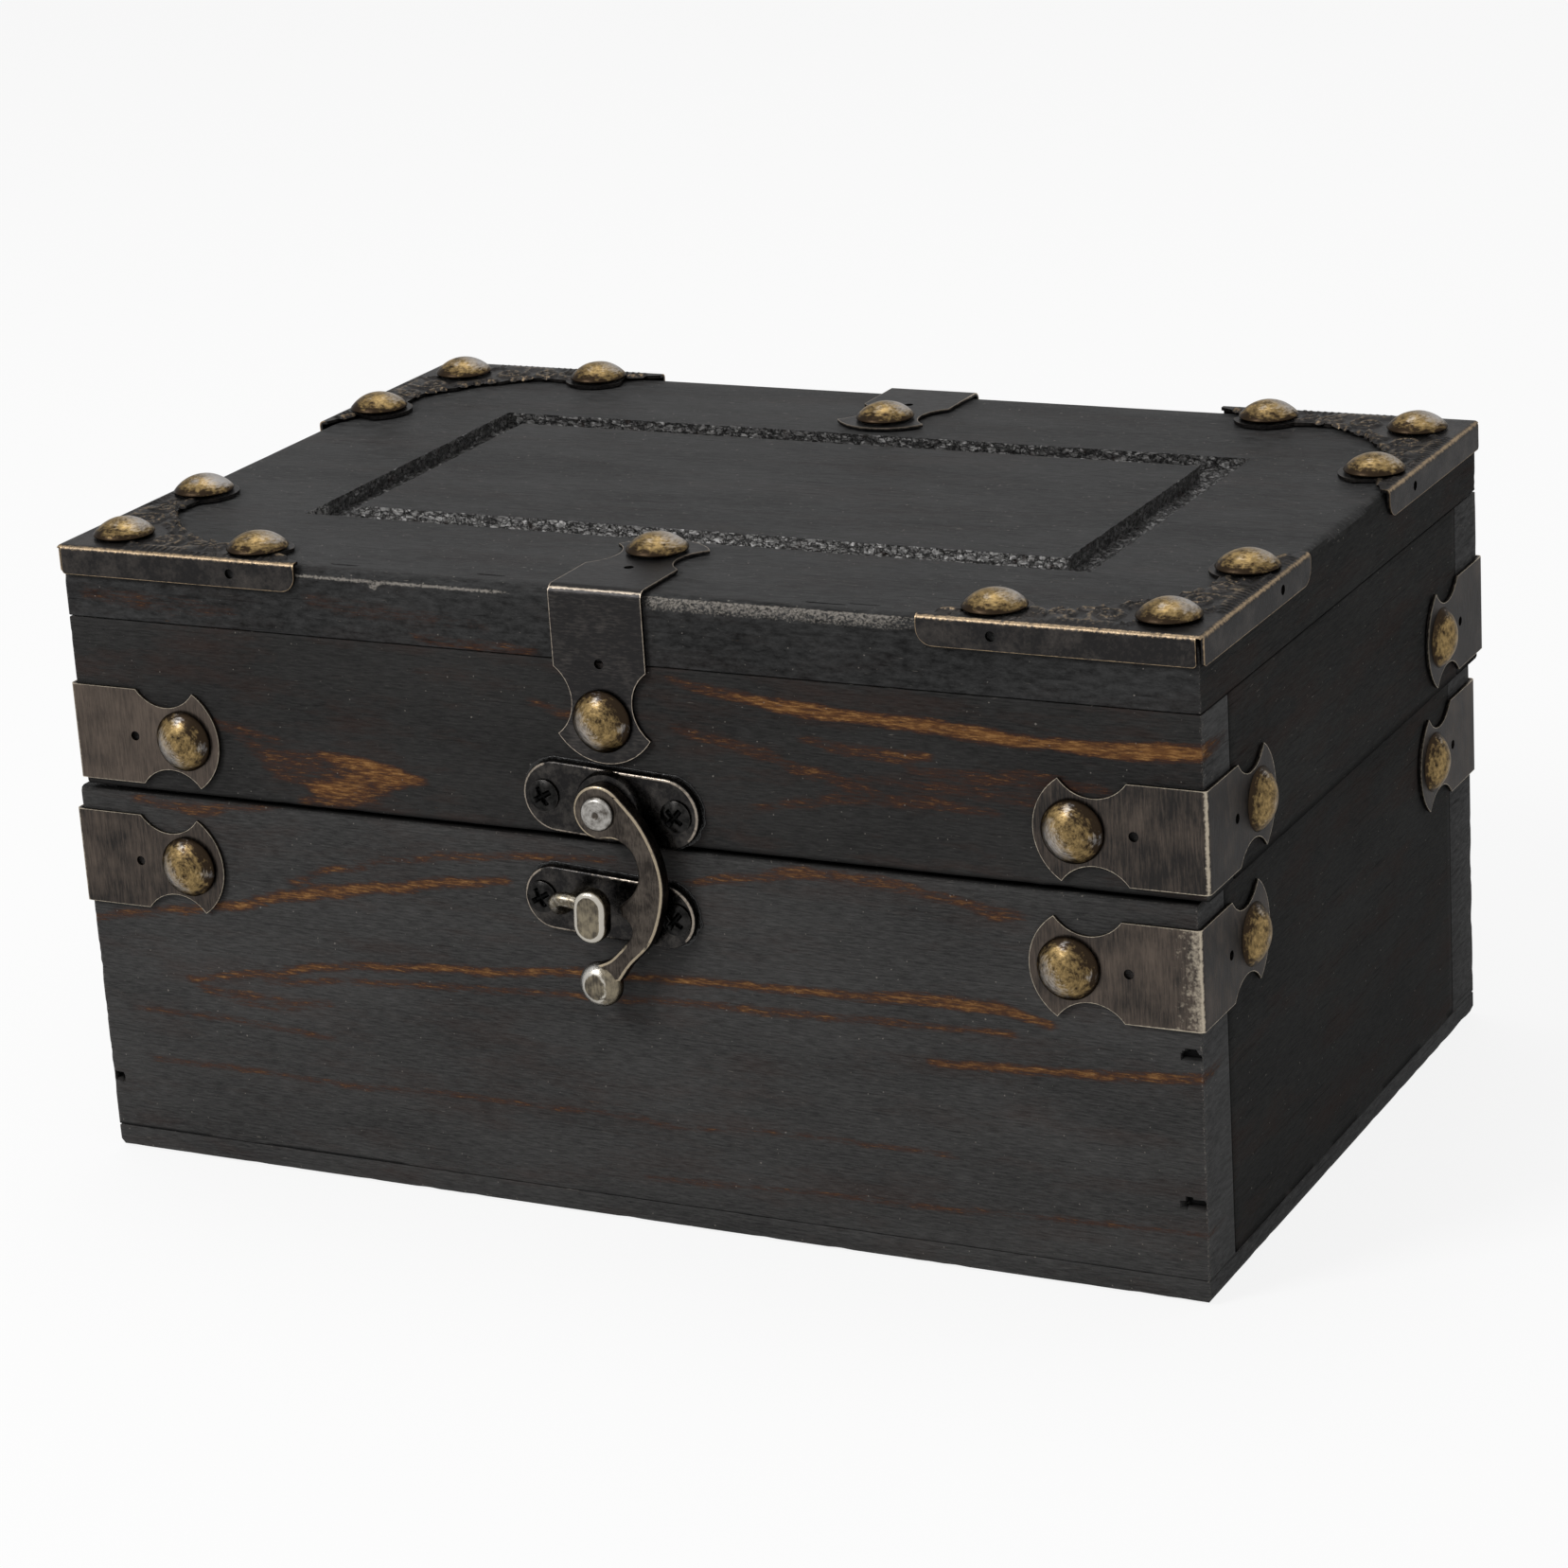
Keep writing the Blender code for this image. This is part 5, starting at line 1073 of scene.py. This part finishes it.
def cross_screw(seat, outward, radius, height, turn_angle):
    """A domed head with a cross sunk in it, over a plain shank."""
    bm = bmesh.new()
    rise = height - SCREW_RIM
    ball = (radius ** 2 + rise ** 2) / (2 * rise)
    reaches = [radius * step / 14 for step in range(15)]
    profile = [(r, height - ball + math.sqrt(ball ** 2 - r * r)) for r in reaches]
    profile += [(radius, 0.0001), (radius - 0.0001, 0), (radius * 0.4, 0), (radius * 0.4, -0.006)]
    turn_profile(bm, profile, 64)
    edge, rub = mark(bm, "edge"), mark(bm, "rub")
    arm, slot_half = radius * 0.60, radius * 0.13
    for v in bm.verts:
        if v.co.z < height * 0.2:
            continue
        x, y = abs(v.co.x), abs(v.co.y)
        inside = min(max(0, 1 - max(0, min(x, y) - slot_half * 0.6) / (slot_half * 0.8)),
                     max(0, 1 - max(0, max(x, y) - arm * 0.85) / (arm * 0.25)))
        v.co.z -= CROSS_DEPTH * inside
        v[edge] = 0.9 if v.co.xy.length > radius * 0.93 else 0
        # The cross is darker than the dome, as painted shade in its recess
        v[rub] = 0.3 - 1.3 * inside
    turn = outward.to_track_quat("Z", "Y").to_matrix()
    set_in_place(bm, turn @ Matrix.Rotation(turn_angle, 3, "Z"), seat)
    return bm


for side_name, sign in SIDES:
    for body, sense in (("base", -1), ("lid", 1)):
        for label, way in (("outer", -0.5), ("inner", 0.5)):
            seat = Vector((sign * HINGE_X + way * SCREW_SPACING, LEAF_FACE,
                           PIN_AXIS.z + sense * SCREW_TO_AXIS))
            # No two crosses point the same way
            bm = cross_screw(seat, BACK, 0.0017, 0.0007, 600 * (seat.x + seat.z))
            add_piece(f"hinge_screw_{body}_{side_name}_{label}", bm, [SCREW_METAL], body)

# Latch plate and catch plate
# Two small die-cast bars with full round ends, tilted slightly, blackened and rubbed bright along
# their edges. The upper one has a raised hub that carries the arm.
TILT = math.radians(3.3)
LATCH = Vector((0.0023, -HALF_DEPTH, 0.0795))
CATCH = Vector((0.0006, -HALF_DEPTH, 0.0605))
# Length and height of each plate, how far apart its screws are, and the body it is on
PLATES = (("latch", LATCH, (0.0344, 0.0130), 0.0258, "lid"),
          ("catch", CATCH, (0.0336, 0.0118), 0.0265, "base"))
PLATE_FRONT = SEAT_GAP + 0.0014
HUB = ((0, 0.0033), (0.0054, 0.0033), (0.0060, 0.0031), (0.0063, 0.0025), (0.0064, PLATE_FRONT - 0.0002))
LATCH_METAL = antique_metal("blackened die-cast bronze", "242323", "45423F", "958B7F",
                            (4, (0.44, 0.78), (0.18, 0.34), (1.5, 1.5, 1.5), 0.66))
FRONT_FRAME = Matrix((RIGHT, UP, -BACK)).transposed()
TILTED_FRAME = FRONT_FRAME @ Matrix.Rotation(-TILT, 3, "Z")


def stadium(length, height, steps=20):
    """The outline of a bar with full round ends."""
    radius = height / 2
    reach = length / 2 - radius
    return arc((reach, 0), radius, -90, 90, steps) + arc((-reach, 0), radius, 90, 270, steps)


def casting(outline, low, high, rounding, wear_band):
    """A plate cast to an outline, with its front edge rounded and marked as worn."""
    bm = bmesh.new()
    extrude(bm, [bm.faces.new([bm.verts.new((x, y, low)) for x, y in outline])], high - low)
    bmesh.ops.recalc_face_normals(bm, faces=bm.faces)
    soften(bm, [e for e in bm.edges if all(v.co.z > high - 1e-6 for v in e.verts)], rounding, 4)
    edge = mark(bm, "edge")
    for v in bm.verts:
        v[edge] = 1 if v.co.z > high - rounding * 0.35 else 0
    for share in (0.5, 0):
        crown = [f for f in bm.faces if f.normal.z > 0.999 and f.calc_center_median().z > high - 1e-6]
        bmesh.ops.inset_region(bm, faces=crown, thickness=wear_band / 2, use_boundary=True,
                               use_even_offset=True)
        for v in {v for f in crown if f.is_valid for v in f.verts}:
            v[edge] = share
    return bm


for prefix, centre, size, spacing, body in PLATES:
    bm = casting(stadium(*size), SEAT_GAP, PLATE_FRONT, 0.0005, 0.0002)
    edge = mark(bm, "edge")
    if prefix == "latch":
        turn_profile(bm, HUB, 48)
    for v in bm.verts:
        if v.co.z > 0.0028 and v.co.xy.length > 0.0058:
            v[edge] = 0.35
        # A plate's rim is bright round its two ends and only in dashes along its top: wear, and a painted
        # highlight where the round rim would catch the light
        dashes = 0.5 + 1.1 * noise.noise(Vector((v.co.x * 260, v.co.y * 90, 4)))
        v[edge] *= min(1, max(0.2, dashes + 0.8 * (abs(v.co.x) / 0.016) ** 3))
    set_in_place(bm, TILTED_FRAME, centre)
    add_piece(prefix + "_plate_bronze", bm, [LATCH_METAL], body, [prefix + "_plate"])
    for side_name, sign in SIDES:
        seat = centre + TILTED_FRAME @ Vector((sign * spacing / 2, 0, PLATE_FRONT + 0.0001))
        bm = cross_screw(seat, -BACK, 0.0029, 0.0011, 0.5 if sign < 0 else 0.85)
        cad = f"{prefix}_screw_{side_name}"
        add_piece(cad + "_steel", bm, [SCREW_METAL], body, [cad])

# Stain pools
# Black stain ran against the two castings and dried glossy in a lumpy line round them. The lumps
# are 1 mm across and catch small sharp lights.
pool_stain, tree = new_material("dried pool of black stain")
lumps = node(tree, "TexNoise", {0: millimetres(tree), "Scale": 1.1, "Detail": 3, "Roughness": 0.6})
colour = node(tree, "Mix", {0: lumps, 6: linear("0B0B0B"), 7: linear("1C1B1B")}, data_type="RGBA")
surface(tree, lumps, 0.8, 0.0004, {"Base Color": colour.outputs[2], "Roughness": 0.22,
                                   "Specular IOR Level": 0.35})
for prefix, centre, size, spacing, body in PLATES:
    outline = []
    for x, y in stadium(*size, 40):
        away = Vector((x, y)).normalized()
        spread = 0.0006 + 0.0005 * noise.noise(Vector((x, y, 0)) * 600) + 0.0004 * max(0, away.y)
        outline.append((x + away.x * spread, y + away.y * spread))
    bm = casting(outline, 0.00002, 0.00022, 0.00015, 0.0002)
    set_in_place(bm, TILTED_FRAME, centre)
    add_piece(prefix + "_stain_pool", bm, [pool_stain], body)

# Catch peg
# A bent peg cast in one with the catch plate. Its upright oval head is hand-rubbed bright where
# the arm's notch slides over it.
PEG_RADIUS = 0.0013
PEG_ROUTE = ((-0.0074, -0.0001, 0.0010), (-0.0074, -0.0001, 0.0036), (-0.0074, 0.0000, 0.0064),
             (-0.0074, 0.0030, 0.0088), (-0.0044, 0.0036, 0.0086), (0.0003, 0.0022, 0.0086))
PEG_HEAD = (0.0096, 0.0063)
PEG_HEAD_AT = Vector((0.0003, 0.0010, 0))
PEG_METAL = antique_metal("rubbed bronze peg and ball", "48433C", "837A68", "BDB8AE",
                          (2.2, (0.36, 0.66), (0.22, 0.36), (2.8, 2.8, 0.4), 0.42), "B4B3B0")
peg_curve = bpy.data.curves.new("peg", "CURVE")
peg_curve.dimensions = "3D"
peg_curve.bevel_depth = PEG_RADIUS
peg_curve.bevel_resolution = 6
peg_curve.use_fill_caps = True
spline = peg_curve.splines.new("NURBS")
spline.points.add(len(PEG_ROUTE) - 1)
for point, at in zip(spline.points, PEG_ROUTE):
    point.co = (*at, 1)
spline.use_endpoint_u = True
spline.order_u = 4
spline.resolution_u = 8
holder = bpy.data.objects.new("peg_route", peg_curve)
scene.collection.objects.link(holder)
bpy.context.view_layer.update()
peg_mesh = bpy.data.meshes.new_from_object(holder.evaluated_get(bpy.context.evaluated_depsgraph_get()))
bpy.data.objects.remove(holder)
bm = bmesh.new()
bm.from_mesh(peg_mesh)
edge = mark(bm, "edge")
for v in bm.verts:
    v[edge] = 0.45
set_in_place(bm, TILTED_FRAME, CATCH)
add_piece("catch_peg_rod", bm, [PEG_METAL], "base")
bm = casting([(-y, x) for x, y in stadium(*PEG_HEAD)], 0.0074, 0.0100, 0.0009, 0.0005)
set_in_place(bm, TILTED_FRAME, CATCH + TILTED_FRAME @ PEG_HEAD_AT)
add_piece("catch_peg_head", bm, [PEG_METAL], "base")

# Latch arm
# A cast crescent that swings on the rivet: a ring, a notch for the peg, and a ball to push with a
# thumb. Its front is flat-brushed, and the outer rim is rubbed pale.
OUTER_CURVE = ((0.0035, 0.0036), (0.0079, -0.0015), (0.0106, -0.0072), (0.0115, -0.0125),
               (0.0106, -0.0180), (0.0083, -0.0233), (0.0040, -0.0278), (0.0009, -0.0321))
INNER_CURVE = ((0.0026, -0.0168), (0.0057, -0.0140), (0.0069, -0.0104), (0.0058, -0.0066),
               (0.0029, -0.0047), (-0.0006, -0.0050))
TAIL_CURVE = ((-0.0029, -0.0284), (-0.0001, -0.0271), (0.0024, -0.0248))
NOTCH = (0.0023, -0.0212)
NOTCH_RADIUS = 0.0025
RING_RADIUS = 0.0050
ARM_BACK = 0.0036
ARM_FRONT = 0.0060
BALL = Vector((-0.0025, -0.0321, 0.0048))
BALL_SIZE = (0.0041, 0.0041, 0.0027)
BALL_FLAT = 0.0023
ARM_METAL = antique_metal("flat-brushed die-cast bronze", "302C29", "635B53", "A39681",
                          (4, (0.36, 0.86), (0.24, 0.38), (3.0, 3.0, 0.5), 0.60))


def smooth_line(knots, steps=7):
    """A smooth curve through its knots."""
    knots = [Vector(knot) for knot in knots]
    padded = [knots[0] * 2 - knots[1]] + knots + [knots[-1] * 2 - knots[-2]]
    points = []
    for a, b, c, d in zip(padded, padded[1:], padded[2:], padded[3:]):
        for step in range(steps):
            t = step / steps
            point = b * 2 + (c - a) * t + (a * 2 - b * 5 + c * 4 - d) * t * t
            points.append(tuple((point + (b * 3 - a - c * 3 + d) * t * t * t) / 2))
    return points + [tuple(knots[-1])]


outline = smooth_line(OUTER_CURVE)[:-2] + [(BALL.x, BALL.y)] + smooth_line(TAIL_CURVE)
outline += arc(NOTCH, NOTCH_RADIUS, -52, 76, 16) + smooth_line(INNER_CURVE)[:-1]
outline += arc((0, 0), RING_RADIUS, 262, 46, 36)
bm = casting(outline, ARM_BACK, ARM_FRONT, 0.0005, 0.0003)
edge = mark(bm, "edge")
for v in bm.verts:
    # The inner rim is less worn
    if -0.024 < v.co.y < -0.0044 and v.co.x < 0.0076:
        v[edge] *= 0.45
set_in_place(bm, FRONT_FRAME, LATCH)
add_piece("latch_arm_bronze", bm, [ARM_METAL], "latch_arm", ["latch_arm"])
bm = bmesh.new()
bmesh.ops.create_uvsphere(bm, u_segments=48, v_segments=24, radius=1)
bmesh.ops.scale(bm, vec=BALL_SIZE, verts=bm.verts)
edge, painted_sheen, rub = mark(bm, "edge"), mark(bm, "painted_sheen"), mark(bm, "rub")
for v in bm.verts:
    # The flat that the thumb pushes is darker than the rubbed round about it
    facet = math.hypot((v.co.x + 0.0004) / 0.0019, v.co.y / 0.0024)
    v.co.z = min(v.co.z, BALL_FLAT)
    if v.co.z > 0:
        v[rub] = -0.25 if facet < 1 else 0.3
        v[edge] = max(0, 1 - abs(facet - 1.15) / 0.25)
        # A painted highlight on the left of the rubbed round, fading towards the right
        v[painted_sheen] = max(0, 0.75 - v.co.x / 0.0045) if facet > 1 else 0
bmesh.ops.translate(bm, vec=BALL, verts=bm.verts)
set_in_place(bm, FRONT_FRAME, LATCH)
add_piece("latch_arm_ball", bm, [PEG_METAL], "latch_arm")

# Rivet
# A plain nickel-plated rivet, peened over by hand, so its face is flat and bright, with a dark
# punch mark in the middle.
RIVET_PROFILE = ((0, 0.0072), (0.0004, 0.0071), (0.0008, 0.00728), (0.0022, 0.00728), (0.0027, 0.0071),
                 (0.0030, 0.0068), (0.0031, 0.0064), (0.0030, 0.0062), (0.0015, 0.0062), (0.0015, 0.0010))
RIVET_METAL = antique_metal("peened nickel-plated rivet", "4A453F", "A5A29D", "C8C5C0",
                            (1.8, (0.32, 0.60), (0.24, 0.38), (3.2, 1.0, 1.0), 0.55), "B4B3B0", True)
bm = bmesh.new()
turn_profile(bm, RIVET_PROFILE, 48)
mark_turning(bm, 0, 1)
rub = mark(bm, "rub")
for v in bm.verts:
    v[rub] = -1 if v.co.xy.length < 0.0006 and v.co.z > 0.007 else 0.1
set_in_place(bm, FRONT_FRAME, LATCH)
add_piece("latch_rivet_nickel", bm, [RIVET_METAL], "lid", ["latch_rivet"])
